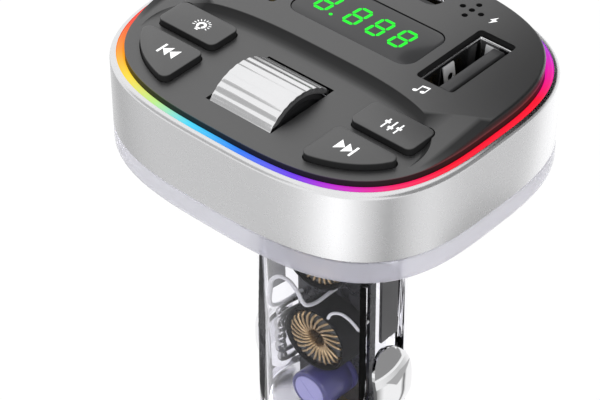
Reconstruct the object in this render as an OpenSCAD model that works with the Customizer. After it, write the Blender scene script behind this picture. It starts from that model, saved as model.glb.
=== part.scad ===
// Car FM transmitter: a clear plug for the accessory socket under a broad silver-banded head with a
// display, four keys, a fluted volume roller and three charging ports. Lengths are in millimetres.
// The origin is on the plug's axis at the underside of the head's flange, +Z up to the keys, +X along the
// display and +Y away from the keys.

/* [Head] */
// Length of the head along the display
head_l = 54; // [53.6:0.2:60]
// Width of the head from front to back
head_w = 47.2; // [46.8:0.2:52]
// Fullness of the head's corners
head_fullness = 3.1; // [3:0.1:4]
// Height of the clear flange below the band
flange_h = 4.1; // [3.8:0.1:5]
// Radius of the flange's lower edge
flange_edge_r = 1.7; // [0.8:0.1:2.2]
// Wall of the clear flange
flange_wall = 2.6; // [2.2:0.1:2.7]
// Floor of the clear flange
flange_floor = 1.6; // [1.2:0.1:1.8]

/* [Silver band] */
// Height of the silver band
band_h = 10.5; // [10.3:0.1:11.5]
// Wall of the silver band
band_wall = 1.25; // [1.15:0.05:1.4]
// Width of the bevel on the band's upper edge
band_bevel = 0.65; // [0.3:0.05:0.7]

/* [Light ring] */
// Width of the glowing ring as seen from above
ring_w = 0.9; // [0.7:0.05:1]
// Height of the glowing ring above its foot
ring_h = 1.7; // [1.5:0.1:2]
// Height of the ring's foot
ring_foot_h = 1.0; // [0.8:0.1:1.2]

/* [Top plate] */
// Thickness of the plate at its sunken floor
plate_t = 1.4; // [1.2:0.1:1.6]
// Height of the plate's floor above the light ring
floor_rise = 0.75; // [0.6:0.05:1]
// Height of the raised deck above the floor
deck_h = 1.25; // [0.8:0.05:1.5]
// Roundness of the deck's outer edge
deck_edge = 0.8; // [0.4:0.1:1.2]
// Place of the step between deck and floor, from the centre towards the keys
step_y = 1.7; // [1.4:0.1:2.2]
// Width of the slope below the step
step_slope = 2.8; // [1.5:0.1:3.2]

/* [Display] */
// Width of the deck between the display window and a wide port
window_side = 1.75; // [1.6:0.05:2.2]
// Width of the deck in front of the window and behind it
window_margin = 3.8; // [3.5:0.1:4.2]
// Thickness of the display lens
lens_t = 1.1; // [0.8:0.1:1.4]

/* [Charging ports] */
// Length of a wide port's metal shell
port_a_l = 12.9; // [12.8:0.1:13.2]
// Width of a wide port's metal shell
port_a_w = 5.8; // [5.7:0.1:6]
// Distance of a wide port's metal shell from the head's end
port_a_margin = 9.1; // [8.9:0.1:9.3]
// Length of the small port's metal shell
port_c_l = 8.9; // [8.7:0.1:9.2]
// Width of the small port's metal shell
port_c_w = 3.2; // [3:0.1:3.3]
// Distance of the small port's metal shell from the head's back
port_c_margin = 5.7; // [5.5:0.1:5.9]

/* [Keys] */
// Distance of a rear key from the head's end
key_margin = 5.7; // [5.6:0.1:6.2]
// Width of a rear key
key_w = 5.2; // [4.8:0.1:5.4]
// Inner edge of the rear keys from the centre line
key_inner = 11.5; // [11.4:0.1:11.8]
// Distance of a rear key's middle in front of the centre
key_y = 7.8; // [7.7:0.1:7.9]
// Inner edge of the front keys from the centre line
front_key_x = 11.3; // [11.2:0.1:11.6]
// Rear edge of the front keys in front of the centre
front_key_y = 12; // [11.8:0.1:12.4]
// Height of the keys above the floor
key_rise = 0.95; // [0.7:0.05:1.1]
// How far a key travels
key_travel = 0.5; // [0.2:0.05:0.55]

/* [Volume roller] */
// Radius of the roller
roller_r = 7.2; // [6.6:0.1:7.3]
// Length of the roller
roller_l = 10.4; // [9:0.1:10.6]
// Distance of the roller from the head's front
roller_margin = 4.3; // [4.1:0.1:4.6]
// Height of the roller's axis above the origin
roller_z = 10.8; // [10.6:0.1:10.9]
// Number of flutes round the roller
flutes = 36; // [24:2:48]
// Depth of a flute
flute_depth = 0.28; // [0.1:0.02:0.4]
// Wall of the roller's metal sleeve
sleeve_t = 0.95; // [0.7:0.05:1.2]
// Radius of the roller's axle
axle_r = 1.0; // [0.8:0.05:1.2]

/* [Plug] */
// Radius of the plug's clear body
stem_r = 10.3; // [10.2:0.05:10.5]
// Wall of the plug's clear body
stem_wall = 1.4; // [1.2:0.1:1.5]
// Length of the clear body below the flange
stem_l = 46; // [45.8:0.2:50]
// Width of the slots for the side contacts
slot_w = 7.9; // [7.7:0.1:8.4]
// Distance of the slots' upper end below the flange
slot_top = 16; // [14:0.5:17]
// Height of the nose ring's neck in the clear body, from its foot to the slots' lower end
neck_h = 2.6; // [2.4:0.1:2.8]

/* [Side contacts] */
// How far a contact bulges past the plug's body
contact_proud = 1.6; // [1.2:0.1:1.7]
// Length of a contact
contact_l = 12.6; // [11:0.2:12.8]
// Width of a contact
contact_w = 7.4; // [6:0.1:7.5]
// Depth of a contact's curve
contact_curve = 2.7; // [2:0.1:2.8]
// Fullness of a contact's curve, from 2 for a plain bow to 3 for a straight body with round ends
contact_fullness = 2.8; // [2:0.1:3]
// Thickness of the contact's metal
contact_t = 0.5; // [0.4:0.05:0.6]

/* [Nose] */
// Length of the nose ring below the clear body
nose_l = 7; // [6.8:0.2:8]
// Radius of the nose ring's lower face
nose_r = 6.2; // [6:0.1:7]
// Radius of the centre pin's tip
pin_r = 3.0; // [2.6:0.1:3.3]
// How far the centre pin stands out of the nose ring
pin_out = 5.5; // [4.5:0.1:6]
// How far the centre pin can be pressed in
pin_travel = 3.0; // [2:0.1:3]
// Curls of the centre pin's spring
spring_curls = 4; // [3:1:5]
// Diameter of the spring's wire
spring_wire = 0.45; // [0.3:0.05:0.5]

/* [Drum coils] */
// Room between a drum's cup and the plug's bore
cup_side = 3.7; // [3.65:0.05:3.8]
// Depth of a drum's cup
cup_depth = 5.3; // [5:0.1:5.4]
// Distance of the drums from the plug's axis along the display
drum_x = 1.0; // [0.8:0.1:1.1]
// Room between the two drums
drum_gap = 4.3; // [4.1:0.1:4.5]
// Loops of copper round a drum's core
drum_loops = 16; // [10:1:16]
// Diameter of the copper wire
copper_wire = 0.4; // [0.3:0.02:0.4]

/* [Plug board] */
// Room between the upright board's edge and the plug's bore
board_side = 2.5; // [2.4:0.1:2.6]
// Thickness of all circuit boards
board_t = 1.2; // [1:0.1:1.3]
// Distance of the upright board's front behind the plug's axis
board_y = 0.4; // [0.3:0.1:0.6]
// Room between the capacitor and the plug's bore
capacitor_side = 5.75; // [5.7:0.05:6.1]
// Length of the capacitor
capacitor_l = 6.6; // [5.8:0.1:6.8]

/* [Hidden] */

// Fits and overruns shared by all pieces
seam = 0.05;
slip = 0.15;
gap = 0.3;
hair = 0.1;
cut = 1;
skin = 0.01;
pilot_r = 0.7;
$fn = 64;
outline_points = 64;
corner_steps = 5;

// Places that follow the head's outline and the plug's length
port_a_x = head_l / 2 - port_a_margin - port_a_w / 2;
port_c_y = head_w / 2 - port_c_margin - port_c_w / 2;
port_a_y = port_c_y - port_c_w / 2 - port_a_l / 2;
window_l = 2 * (port_a_x - port_a_w / 2 - window_side);
window_w = port_c_y - port_c_w / 2 + step_y - 2 * window_margin;
window_y = (port_c_y - port_c_w / 2 - step_y) / 2;
key_l = head_l / 2 - key_margin - key_inner;
key_x = key_inner + key_l / 2;
roller_y = head_w / 2 - roller_margin - roller_r;
bore_r = stem_r - stem_wall;
cup_r = bore_r - cup_side;
board_w = 2 * (bore_r - board_side);
capacitor_r = bore_r - capacitor_side;
slot_bottom = stem_l - neck_h;
contact_drop = slot_bottom - contact_l / 2 - 2 * gap;
capacitor_z = slot_bottom - capacitor_r - 7 * gap;
lower_drum = capacitor_z - capacitor_r - cup_r - 2 * gap;
upper_drum = lower_drum - 2 * cup_r - drum_gap;

// Insets from the head's outline to each skin of the stack
ring_seat = 0.45;
ring_inset = band_wall - ring_seat;
plate_inset = ring_inset + ring_w + seam;
skirt_t = 0.9;
foot_inset = plate_inset + skirt_t;
tongue_inset = band_wall + seam;
board_inset = flange_wall + 2 * gap;

// Heights of the head's stack
ring_proud = 0.1;
ring_top = flange_h + band_h + ring_proud;
foot_z = ring_top - ring_h - ring_foot_h;
plate_foot = foot_z + ring_foot_h;
floor_z = ring_top + floor_rise;
deck_z = floor_z + deck_h;
plate_under = floor_z - plate_t;
recess_mid = front_key_y;
recess_narrow = 1.95;
recess_fullness = 3;

// Boards and bosses in the head
boss_h = 1.4;
boss_r = 1.9;
boss_hole_h = 2;
main_z = flange_floor + boss_h;
main_top = main_z + board_t;
plate_boss_h = 3.25;
plate_boss_r = 1.5;
panel_top = plate_under - plate_boss_h;
panel_z = panel_top - board_t;
screw_head_r = 1.4;
screw_head_h = 0.7;
spacer_r = 1.6;
main_screws = [[port_a_x + port_a_w, port_a_y - port_a_w / 2],
    [front_key_x + boss_r / 2, -front_key_y - boss_r]];
panel_screw_places = [[key_x / 2, -step_y], [port_a_x + port_a_w - hair, port_a_y - step_y / 2]];
spacer_places = [[head_l / 2 - board_inset - 2 * spacer_r, -step_y],
    [window_l / 2 - spacer_r, window_y + port_a_w]];

// Roller and its bracket
cheek_t = 0.9;
cheek_x = roller_l / 2 + 0.55 * cheek_t;
cheek_half = 3.5;
cheek_top_r = 1.8;
bracket_floor = 1.0;
encoder_t = 2.9;
encoder_half = 3;
notch_half = cheek_x + cheek_t + gap;
flute_points = 4;
roller_room = 0.3;

// Keys and their switches
key_corner = 1.0;
key_bevel = 0.3;
key_slip = 0.2;
key_lip = 0.5;
key_flange_t = 0.9;
key_rim = 3.45;
key_top = floor_z + key_rise;
flange_top = plate_under - hair;
key_foot = flange_top - key_flange_t;
plunger_r = 1.2;
plunger_slip = 0.08;
plunger_h = 1.3;
switch_w = 4.0;
switch_top = key_foot - key_travel - hair;
switch_floor = 0.2;
front_switch_x = front_key_x + 0.31 * (rim_x(-front_key_y, key_rim) - front_key_x);
front_switch = [front_switch_x, (rim_y(front_switch_x, key_rim) - 2 * front_key_y) / 3];

// Ports
shell_t = 0.3;
shell_drop = 0.8;
port_corner = 0.5;
port_floor = 0.6;
tongue_a_t = 1.85;
tongue_a_off = 0.75;
tongue_a_l = 11.2;
tongue_c_t = 0.7;
tongue_c_l = 6.7;
tongue_drop = 0.6;

// Display module and small parts
module_off = 0.6;
mic_r = 2.2;
mic_side = 4.05;
mic_back = 1.1;
mic_place = [port_c_l / 2 + mic_side, port_c_y + mic_back];
mic_hole_r = 0.35;
mic_hole_pitch = 1.5;
led_l = 2;
led_w = 1.2;
led_h = 0.8;
led_inset = 4;
led_step = 30;
header_l = 2 * (key_x / 2 - screw_head_r - 1.5 * gap);
header_w = 2.4;
header_y = roller_r + roller_room - roller_y + gap;
radio_l = 12;
radio_w = 7.5;
radio_h = 2.2;

// Plug interior
board_top = main_z - hair;
board_foot = slot_bottom - hair;
board_back = board_y + board_t;
cup_wall = 0.35;
cup_floor = 0.5;
cup_front = board_y - cup_depth;
wind_out = cup_r - cup_wall - 0.3 * copper_wire - copper_wire / 2;
wind_in = 0.45 * (cup_r - 2 * hair);
wind_back = board_y - cup_floor - 0.4 * copper_wire - copper_wire / 2;
wind_front = cup_front + copper_wire / 4;
core_off = 0.7 * copper_wire;
wind_share = 0.95;
wind_fullness = 4;
loop_rings = 16;
tube_sides = 6;
capacitor_x = 1.2;
lead_r = 0.3;
lead_bend = 0.8;
lead_side = 0.78;
small_arch = 0.5 * (cup_r - 4 * gap);
tin_r = 0.35;

// Side contacts and their strips
contact_peak = stem_r + contact_proud;
bow_steps = 24;
strip_share = 0.43;
strip_w = strip_share * slot_w;
strip_t = 0.5;
strip_x = stem_r - hair - strip_t;
strip_top = slot_top + hair;
strip_ledge = 2.7;
strip_foot = contact_drop - contact_l / 2 - strip_ledge;
tab_h = 3;

// Nose ring and centre pin, whose stub meets the spring's seat when the pin is fully pressed in
nose_z = -stem_l - nose_l;
nose_collar = 2;
nose_floor = 1.6;
neck_r = bore_r - hair;
cavity_r = 4.6;
pin_slip = 0.06;
shoulder_r = 4.3;
shoulder_t = 1.2;
shoulder_z = nose_z + nose_floor + hair;
pin_stub_r = 2.5;
seat_t = 0.8;
seat_z = -slot_bottom - seat_t;
spring_r = 3.4;
curl_rings = 8;

// The outline of the head, drawn in by an inset
function outline(inset) = let (a = head_l / 2 - inset, b = head_w / 2 - inset, k = 2 / head_fullness)
    [for (i = [0:outline_points - 1]) let (t = 360 * i / outline_points)
        [a * sign(cos(t)) * pow(abs(cos(t)), k), b * sign(sin(t)) * pow(abs(sin(t)), k)]];

// A rectangle with round corners, as points
function round_rect(length, width, radius) = [for (c = [0:3], i = [0:corner_steps])
    let (t = 90 * c + 90 * i / corner_steps, sx = c == 0 || c == 3 ? 1 : -1, sy = c < 2 ? 1 : -1)
    [sx * (length / 2 - radius) + radius * cos(t), sy * (width / 2 - radius) + radius * sin(t)]];

// The edge of the sunken floor: a full curve behind the keys, open to the front
function recess(edge, half) = let (k = 2 / recess_fullness, far = head_l)
    concat([for (i = [0:outline_points / 2]) let (t = 360 * i / outline_points)
        [half * sign(cos(t)) * pow(abs(cos(t)), k), -recess_mid + (recess_mid - edge) * pow(abs(sin(t)), k)]],
        [[-far, -far], [far, -far]]);

// A tube along a path: rings square to the path, turned by a side vector at each point
function unit(v) = v / norm(v);
function ahead(path, i) = unit(path[min(i + 1, len(path) - 1)] - path[max(i - 1, 0)]);
function tube_rings(path, sides, radius) = [for (i = [0:len(path) - 1])
    let (t = ahead(path, i), a = unit(cross(t, sides[i])), b = cross(a, t))
    for (k = [0:tube_sides - 1]) let (w = 360 * k / tube_sides) path[i] + radius * (cos(w) * a + sin(w) * b)];
function tube_faces(count) = concat(
    [for (i = [0:count - 2], k = [0:tube_sides - 1])
        let (a = i * tube_sides + k, b = i * tube_sides + (k + 1) % tube_sides) [a, b, b + tube_sides]],
    [for (i = [0:count - 2], k = [0:tube_sides - 1])
        let (a = i * tube_sides + k, b = i * tube_sides + (k + 1) % tube_sides)
        [a, b + tube_sides, a + tube_sides]],
    [for (k = [1:tube_sides - 2]) [0, k + 1, k]],
    [for (k = [1:tube_sides - 2]) let (last = (count - 1) * tube_sides) [last, last + k, last + k + 1]]);
function least_gap(path, skip, thickness) = min([for (i = [0:len(path) - 1 - skip])
    for (j = [i + skip:len(path) - 1]) norm(path[i] - path[j])]) - thickness;

module tube(path, sides, radius) {
    polyhedron(tube_rings(path, sides, radius), tube_faces(len(path)));
}

// A solid through outlines of equally many points, each at its own height
module loft(shapes, heights) {
    n = len(shapes[0]);
    last = len(shapes) - 1;
    polyhedron([for (j = [0:last], p = shapes[j]) [p[0], p[1], heights[j]]],
        concat([[for (i = [0:n - 1]) i]], [[for (i = [n - 1:-1:0]) last * n + i]],
            [for (j = [0:last - 1], i = [0:n - 1])
                let (a = j * n + i, b = j * n + (i + 1) % n) [a, a + n, b + n]],
            [for (j = [0:last - 1], i = [0:n - 1])
                let (a = j * n + i, b = j * n + (i + 1) % n) [a, b + n, b]]));
}

module slab(inset, low, high) {
    translate([0, 0, low]) linear_extrude(high - low) polygon(outline(inset));
}

module both_sides() {
    children();
    mirror([1, 0, 0]) children();
}

module post(place, radius, low, high) {
    translate([place[0], place[1], low]) cylinder(r = radius, h = high - low);
}

module block(low, high) {
    translate(low) cube(high - low);
}

// Clear housing: the flange dish, its upright wall inside the band, and the slotted plug tube
module dish() {
    steps = 4;
    turns = [for (i = [0:steps]) 90 * i / steps];
    loft(concat([for (t = turns) outline(flange_edge_r * (1 - sin(t)))], [outline(0)]),
        concat([for (t = turns) flange_edge_r * (1 - cos(t))], [flange_h]));
    slab(tongue_inset, flange_h - hair, foot_z - hair);
}

module clear_housing() {
    color([0.86, 0.84, 0.94, 0.35]) difference() {
        union() {
            difference() {
                dish();
                slab(flange_wall, flange_floor, foot_z + cut);
            }
            for (p = main_screws) both_sides() post(p, boss_r, flange_floor - hair, main_z);
            translate([0, 0, -stem_l]) cylinder(r = stem_r, h = stem_l + hair);
        }
        translate([0, 0, -stem_l - cut]) cylinder(r = bore_r, h = stem_l + flange_floor + 2 * cut);
        both_sides() block([bore_r / 2, -slot_w / 2, -slot_bottom], [stem_r + cut, slot_w / 2, -slot_top]);
        for (p = main_screws) both_sides() post(p, pilot_r, main_z - boss_hole_h, main_z + cut);
    }
}

module silver_band() {
    band_top = flange_h + band_h;
    color([0.78, 0.78, 0.8]) difference() {
        loft([outline(0), outline(0), outline(band_bevel)], [flange_h, band_top - band_bevel, band_top]);
        slab(band_wall, flange_h - cut, foot_z);
        slab(ring_inset - seam, foot_z - skin, band_top + cut);
    }
}

module light_ring() {
    color([0.9, 0.2, 0.5]) difference() {
        slab(ring_inset, foot_z, ring_top);
        slab(ring_inset + ring_w, plate_foot, ring_top + cut);
        slab(foot_inset, foot_z - cut, plate_foot + cut);
    }
}

// Key outlines; grow widens them for the flange below the plate and for the hole in it
function rear_key_outline(grow) =
    [for (p = round_rect(key_l + 2 * grow, key_w + 2 * grow, key_corner + grow / 2)) p + [key_x, -key_y]];

// The front key's outer edge follows the head's; its corners are rounded
function rim_y(x, inset) = -(head_w / 2 - inset)
    * pow(1 - pow(x / (head_l / 2 - inset), head_fullness), 1 / head_fullness);
function rim_x(y, inset) = (head_l / 2 - inset)
    * pow(1 - pow(-y / (head_w / 2 - inset), head_fullness), 1 / head_fullness);
function arc(centre, radius, from, to) = [for (i = [0:corner_steps])
    let (t = from + (to - from) * i / corner_steps) centre + radius * [cos(t), sin(t)]];
function front_key_outline(grow) = let (inset = key_rim - grow, r = key_corner + grow / 2,
    left = front_key_x - grow, top = -front_key_y + grow, right = rim_x(top - r, inset + r),
    low = rim_y(left + r, inset + r), steps = 2 * corner_steps)
    concat(arc([left + r, top - r], r, 90, 180), arc([left + r, low], r, 180, 280),
        [for (i = [1:steps - 1]) let (x = left + r + (right - left - r) * i / steps, y = rim_y(x, inset + r))
            [x, y] + r * unit([pow(x / (head_l / 2 - inset), head_fullness - 1) / head_l,
                -pow(-y / (head_w / 2 - inset), head_fullness - 1) / head_w])],
        arc([right, top - r], r, -20, 90));

// The plate's outside, from its foot to the rounded edge of the deck
module plate_block() {
    steps = 3;
    turns = [for (i = [0:steps]) 90 * i / steps];
    loft(concat([outline(plate_inset)], [for (t = turns) outline(plate_inset + deck_edge * (1 - cos(t)))]),
        concat([plate_foot], [for (t = turns) deck_z - deck_edge * (1 - sin(t))]));
}

module sunken_floor() {
    half = head_l / 2 - plate_inset - recess_narrow;
    loft([recess(step_y + step_slope, half - recess_narrow / 2), recess(step_y, half), recess(step_y, half)],
        [floor_z, deck_z, deck_z + cut]);
}

module port_a_place() {
    translate([port_a_x, port_a_y]) rotate(90) children();
}

module top_plate() {
    color([0.33, 0.33, 0.34]) difference() {
        union() {
            difference() {
                plate_block();
                slab(foot_inset, plate_foot - cut, plate_under);
                sunken_floor();
            }
            for (p = panel_screw_places) both_sides() post(p, plate_boss_r, panel_top, plate_under + hair);
        }
        translate([0, 0, plate_under - cut]) linear_extrude(plate_t + deck_h + 2 * cut) {
            translate([0, window_y])
                polygon(round_rect(window_l + 2 * seam, window_w + 2 * seam, 2 * key_corner));
            both_sides() polygon(rear_key_outline(key_slip));
            both_sides() polygon(front_key_outline(key_slip));
            both_sides() port_a_place()
                polygon(round_rect(port_a_l + 2 * slip, port_a_w + slip, port_corner + slip));
            translate([0, port_c_y])
                polygon(round_rect(port_c_l + slip, port_c_w + slip, (port_c_w + slip) / 2 - skin));
        }
        translate([-roller_l / 2 - roller_room, -roller_y, roller_z]) rotate([0, 90, 0])
            cylinder(r = roller_r + roller_room, h = roller_l + 2 * roller_room);
        post(mic_place, mic_hole_r, plate_under - cut, deck_z + cut);
        for (t = [0:90:270])
            post(mic_place + mic_hole_pitch * [cos(t), sin(t)], mic_hole_r, plate_under - cut, deck_z + cut);
        for (p = panel_screw_places) both_sides() post(p, pilot_r, panel_top - cut, plate_under);
    }
}

module display_lens() {
    color([0.12, 0.13, 0.13]) translate([0, window_y, deck_z - hair - lens_t]) linear_extrude(lens_t)
        polygon(round_rect(window_l, window_w, 2 * key_corner));
}

module display_module() {
    half_l = window_l / 2 - module_off;
    half_w = window_w / 2 - module_off;
    color([0.1, 0.1, 0.1]) block([-half_l, window_y - half_w, panel_top],
        [half_l, window_y + half_w, deck_z - hair - lens_t]);
}

// Boards of the head, open at the front for the roller
module head_board(low, extra) {
    difference() {
        slab(board_inset, low, low + board_t);
        block([-notch_half, -head_w, low - cut],
            [notch_half + extra, roller_r + roller_room - roller_y, low + board_t + cut]);
    }
}

module main_board() {
    color([0.07, 0.16, 0.1]) difference() {
        head_board(main_z, 0);
        for (p = main_screws) both_sides() post(p, pilot_r + seam, main_z - cut, main_top + cut);
    }
}

module panel_board() {
    color([0.07, 0.16, 0.1]) difference() {
        head_board(panel_z, encoder_t);
        for (p = panel_screw_places) both_sides() post(p, pilot_r + seam, panel_z - cut, panel_top + cut);
        translate([0, 0, panel_z - cut]) linear_extrude(board_t + 2 * cut) {
            both_sides() port_a_place()
                polygon(round_rect(port_a_l + 2 * slip, port_a_w + 2 * slip, port_corner + slip));
            translate([0, port_c_y])
                polygon(round_rect(port_c_l + 2 * slip, port_c_w + 2 * slip, port_c_w / 2));
        }
    }
}

module panel_screws() {
    color([0.75, 0.75, 0.77]) for (p = panel_screw_places) both_sides() {
        post(p, screw_head_r, panel_z - screw_head_h, panel_z);
        post(p, pilot_r - seam, panel_z - skin, plate_under - gap);
    }
}

module main_board_screws() {
    color([0.75, 0.75, 0.77]) for (p = main_screws) both_sides() {
        post(p, screw_head_r, main_top, main_top + screw_head_h);
        post(p, pilot_r - seam, main_z - boss_hole_h + gap, main_top + skin);
    }
}

module board_spacers() {
    color([0.8, 0.65, 0.3]) for (p = spacer_places) both_sides() post(p, spacer_r, main_top, panel_z);
}

module board_header() {
    color([0.1, 0.1, 0.1]) block([-header_l / 2, header_y, main_top],
        [header_l / 2, header_y + header_w, panel_z]);
}

module radio_module() {
    radio_y = header_y + header_w + gap;
    color([0.7, 0.71, 0.72]) block([-radio_l / 2, radio_y, main_top],
        [radio_l / 2, radio_y + radio_w, main_top + radio_h]);
}

module ring_leds() {
    a = head_l / 2 - led_inset;
    b = head_w / 2 - led_inset;
    k = 2 / head_fullness;
    color([0.95, 0.95, 0.85]) for (t = [0:led_step:360 - led_step]) if (sin(t) > -0.8)
        translate([a * sign(cos(t)) * pow(abs(cos(t)), k), b * sign(sin(t)) * pow(abs(sin(t)), k), panel_top])
            rotate(abs(sin(t)) > abs(cos(t)) ? 0 : 90) translate([-led_l / 2, -led_w / 2])
                cube([led_l, led_w, led_h]);
}

module microphone() {
    color([0.7, 0.7, 0.72]) post(mic_place, mic_r, panel_top, plate_under - slip);
}

// A switch body with the hole that its plunger slides in
module tactile_switch(place) {
    difference() {
        translate([place[0] - switch_w / 2, place[1] - switch_w / 2, panel_top])
            cube([switch_w, switch_w, switch_top - panel_top]);
        post(place, plunger_r + plunger_slip, panel_top + switch_floor, switch_top + cut);
    }
}

module tactile_switches() {
    color([0.15, 0.15, 0.16]) both_sides() {
        tactile_switch([key_x, -key_y]);
        tactile_switch(front_switch);
    }
}

module plunger(place) {
    color([0.9, 0.85, 0.6]) post(place, plunger_r, key_foot - plunger_h, key_foot);
}

module plunger_light() {
    mirror([1, 0, 0]) plunger([key_x, -key_y]);
}

module plunger_eq() {
    plunger([key_x, -key_y]);
}

module plunger_prev() {
    mirror([1, 0, 0]) plunger(front_switch);
}

module plunger_next() {
    plunger(front_switch);
}

// A key cap with a bevelled top, and the flange that keeps it under the plate
module key_cap(wide, plain, drawn_in) {
    color([0.38, 0.38, 0.39]) {
        translate([0, 0, key_foot]) linear_extrude(key_flange_t) polygon(wide);
        loft([plain, plain, drawn_in], [key_foot, key_top - key_bevel, key_top]);
    }
}

module rear_key() {
    key_cap(rear_key_outline(key_lip), rear_key_outline(0), rear_key_outline(-key_bevel));
}

module front_key() {
    key_cap(front_key_outline(key_lip), front_key_outline(0), front_key_outline(-key_bevel));
}

module button_light() {
    mirror([1, 0, 0]) rear_key();
}

module button_eq() {
    rear_key();
}

module button_prev() {
    mirror([1, 0, 0]) front_key();
}

module button_next() {
    front_key();
}

// Lays a shape on the roller's axis, from the left end of its length
module on_roller(length) {
    translate([-length / 2, -roller_y, roller_z]) rotate([90, 0, 90]) children();
}

module volume_roller() {
    wave_shares = [0, 0.75, 1, 0.75];
    color([0.8, 0.8, 0.82]) on_roller(roller_l) linear_extrude(roller_l) difference() {
        polygon([for (i = [0:flutes * flute_points - 1])
            let (t = 360 * i / (flutes * flute_points))
            (roller_r - flute_depth * wave_shares[i % flute_points]) * [cos(t), sin(t)]]);
        circle(r = roller_r - sleeve_t);
    }
}

module roller_core() {
    core_l = roller_l - 2 * gap;
    color([0.08, 0.08, 0.08]) on_roller(core_l) difference() {
        cylinder(r = roller_r - sleeve_t - seam, h = core_l);
        translate([0, 0, -cut]) cylinder(r = axle_r + skin, h = core_l + 2 * cut);
    }
}

module roller_axle() {
    axle_left = cheek_x + cheek_t + slip;
    axle_right = cheek_x + cheek_t + encoder_t - gap;
    color([0.7, 0.7, 0.72]) translate([-axle_left, -roller_y, roller_z]) rotate([0, 90, 0])
        cylinder(r = axle_r, h = axle_left + axle_right);
}

module bracket_cheek() {
    rise = roller_z - flange_floor;
    translate([cheek_x, -roller_y, roller_z]) rotate([90, 0, 90]) linear_extrude(cheek_t) difference() {
        union() {
            circle(r = cheek_top_r);
            polygon([[-cheek_half, -rise], [cheek_half, -rise], [cheek_top_r, 0], [-cheek_top_r, 0]]);
        }
        circle(r = axle_r + seam);
    }
}

module roller_bracket() {
    color([0.6, 0.6, 0.62]) {
        both_sides() bracket_cheek();
        block([-cheek_x - skin, -roller_y - cheek_half, flange_floor],
            [cheek_x + skin, -roller_y + cheek_half, flange_floor + bracket_floor]);
    }
}

module rotary_encoder() {
    encoder_x = cheek_x + cheek_t;
    color([0.2, 0.3, 0.5]) difference() {
        block([encoder_x, -roller_y - encoder_half, roller_z - encoder_half],
            [encoder_x + encoder_t, -roller_y + encoder_half, roller_z + encoder_half]);
        translate([encoder_x - cut, -roller_y, roller_z]) rotate([0, 90, 0])
            cylinder(r = axle_r + seam, h = cut + encoder_t - slip);
    }
}

// The metal shell of a port, standing on the main board and open at the top
module port_shell(length, width, radius, drop) {
    translate([0, 0, main_top]) difference() {
        linear_extrude(deck_z - drop - main_top) polygon(round_rect(length, width, radius));
        translate([0, 0, port_floor]) linear_extrude(deck_z - main_top)
            polygon(round_rect(length - 2 * shell_t, width - 2 * shell_t, radius - shell_t));
    }
}

module usb_a_shell_right() {
    color([0.75, 0.75, 0.77]) port_a_place() port_shell(port_a_l, port_a_w, port_corner, shell_drop);
}

module usb_a_shell_left() {
    mirror([1, 0, 0]) usb_a_shell_right();
}

module usb_a_tongue_right() {
    outer = port_a_x + port_a_w / 2 - shell_t - tongue_a_off;
    color([0.4, 0.4, 0.41]) block([outer - tongue_a_t, port_a_y - tongue_a_l / 2, main_top + port_floor],
        [outer, port_a_y + tongue_a_l / 2, deck_z - shell_drop - tongue_drop]);
}

module usb_a_tongue_left() {
    mirror([1, 0, 0]) usb_a_tongue_right();
}

module usb_c_shell() {
    color([0.75, 0.75, 0.77]) translate([0, port_c_y])
        port_shell(port_c_l, port_c_w, port_c_w / 2 - skin, tongue_drop);
}

module usb_c_tongue() {
    color([0.1, 0.1, 0.1]) block([-tongue_c_l / 2, port_c_y - tongue_c_t / 2, main_top + port_floor],
        [tongue_c_l / 2, port_c_y + tongue_c_t / 2, deck_z - tongue_drop - tongue_drop]);
}

module stem_board() {
    color([0.07, 0.07, 0.08])
        block([-board_w / 2, board_y, -board_foot], [board_w / 2, board_back, board_top]);
}

// Drum coils: cup, ring core and copper loops, facing forwards from the upright board
module on_drum(drop) {
    translate([drum_x, 0, -drop]) rotate([90, 0, 0]) children();
}

module drum_cup(drop) {
    color([0.13, 0.13, 0.14]) on_drum(drop) translate([0, 0, -board_y]) difference() {
        cylinder(r = cup_r, h = cup_depth);
        translate([0, 0, cup_floor]) cylinder(r = cup_r - cup_wall, h = cup_depth);
    }
}

// The section of the ring that the copper goes round, drawn in by an inset, at an angle from its outside
function drum_radius(u, inset) = let (k = 2 / wind_fullness)
    (wind_out + wind_in) / 2 + ((wind_out - wind_in) / 2 - inset) * sign(cos(u)) * pow(abs(cos(u)), k);
function drum_height(u, inset) = let (k = 2 / wind_fullness)
    -(wind_back + wind_front) / 2
    + ((wind_back - wind_front) / 2 - inset) * sign(sin(u)) * pow(abs(sin(u)), k);

module drum_core(drop) {
    color([0.25, 0.26, 0.26]) on_drum(drop) rotate_extrude()
        polygon([for (i = [0:loop_rings - 1]) let (u = 360 * i / loop_rings)
            [drum_radius(u, core_off), drum_height(u, core_off)]]);
}

// The copper runs out of the cup's floor, round the core, and into the cup's wall
function drum_point(radius, turn, height) = [radius * cos(turn), radius * sin(turn), height];
drum_steps = (drum_loops - 0.25) * loop_rings;
drum_floor = cup_floor - board_y;
drum_last = drum_steps / (drum_loops * loop_rings) * 360 * wind_share;
drum_path = concat([drum_point(wind_out, 0, drum_floor), drum_point(wind_out, 0, drum_floor + copper_wire)],
    [for (i = [0:drum_steps])
        let (u = 360 * i / loop_rings, turn = 360 * wind_share * i / (drum_loops * loop_rings))
        drum_point(drum_radius(u, 0), turn, drum_height(u, 0))],
    [drum_point(wind_out, drum_last, -wind_back), drum_point(cup_r - cup_wall, drum_last, -wind_back)]);
drum_sides = concat([[0, 1, 0], [0, 1, 0]],
    [for (i = [0:drum_steps]) let (turn = 360 * wind_share * i / (drum_loops * loop_rings))
        [-sin(turn), cos(turn), 0]],
    [[-sin(drum_last), cos(drum_last), 0], [-sin(drum_last), cos(drum_last), 0]]);

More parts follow.
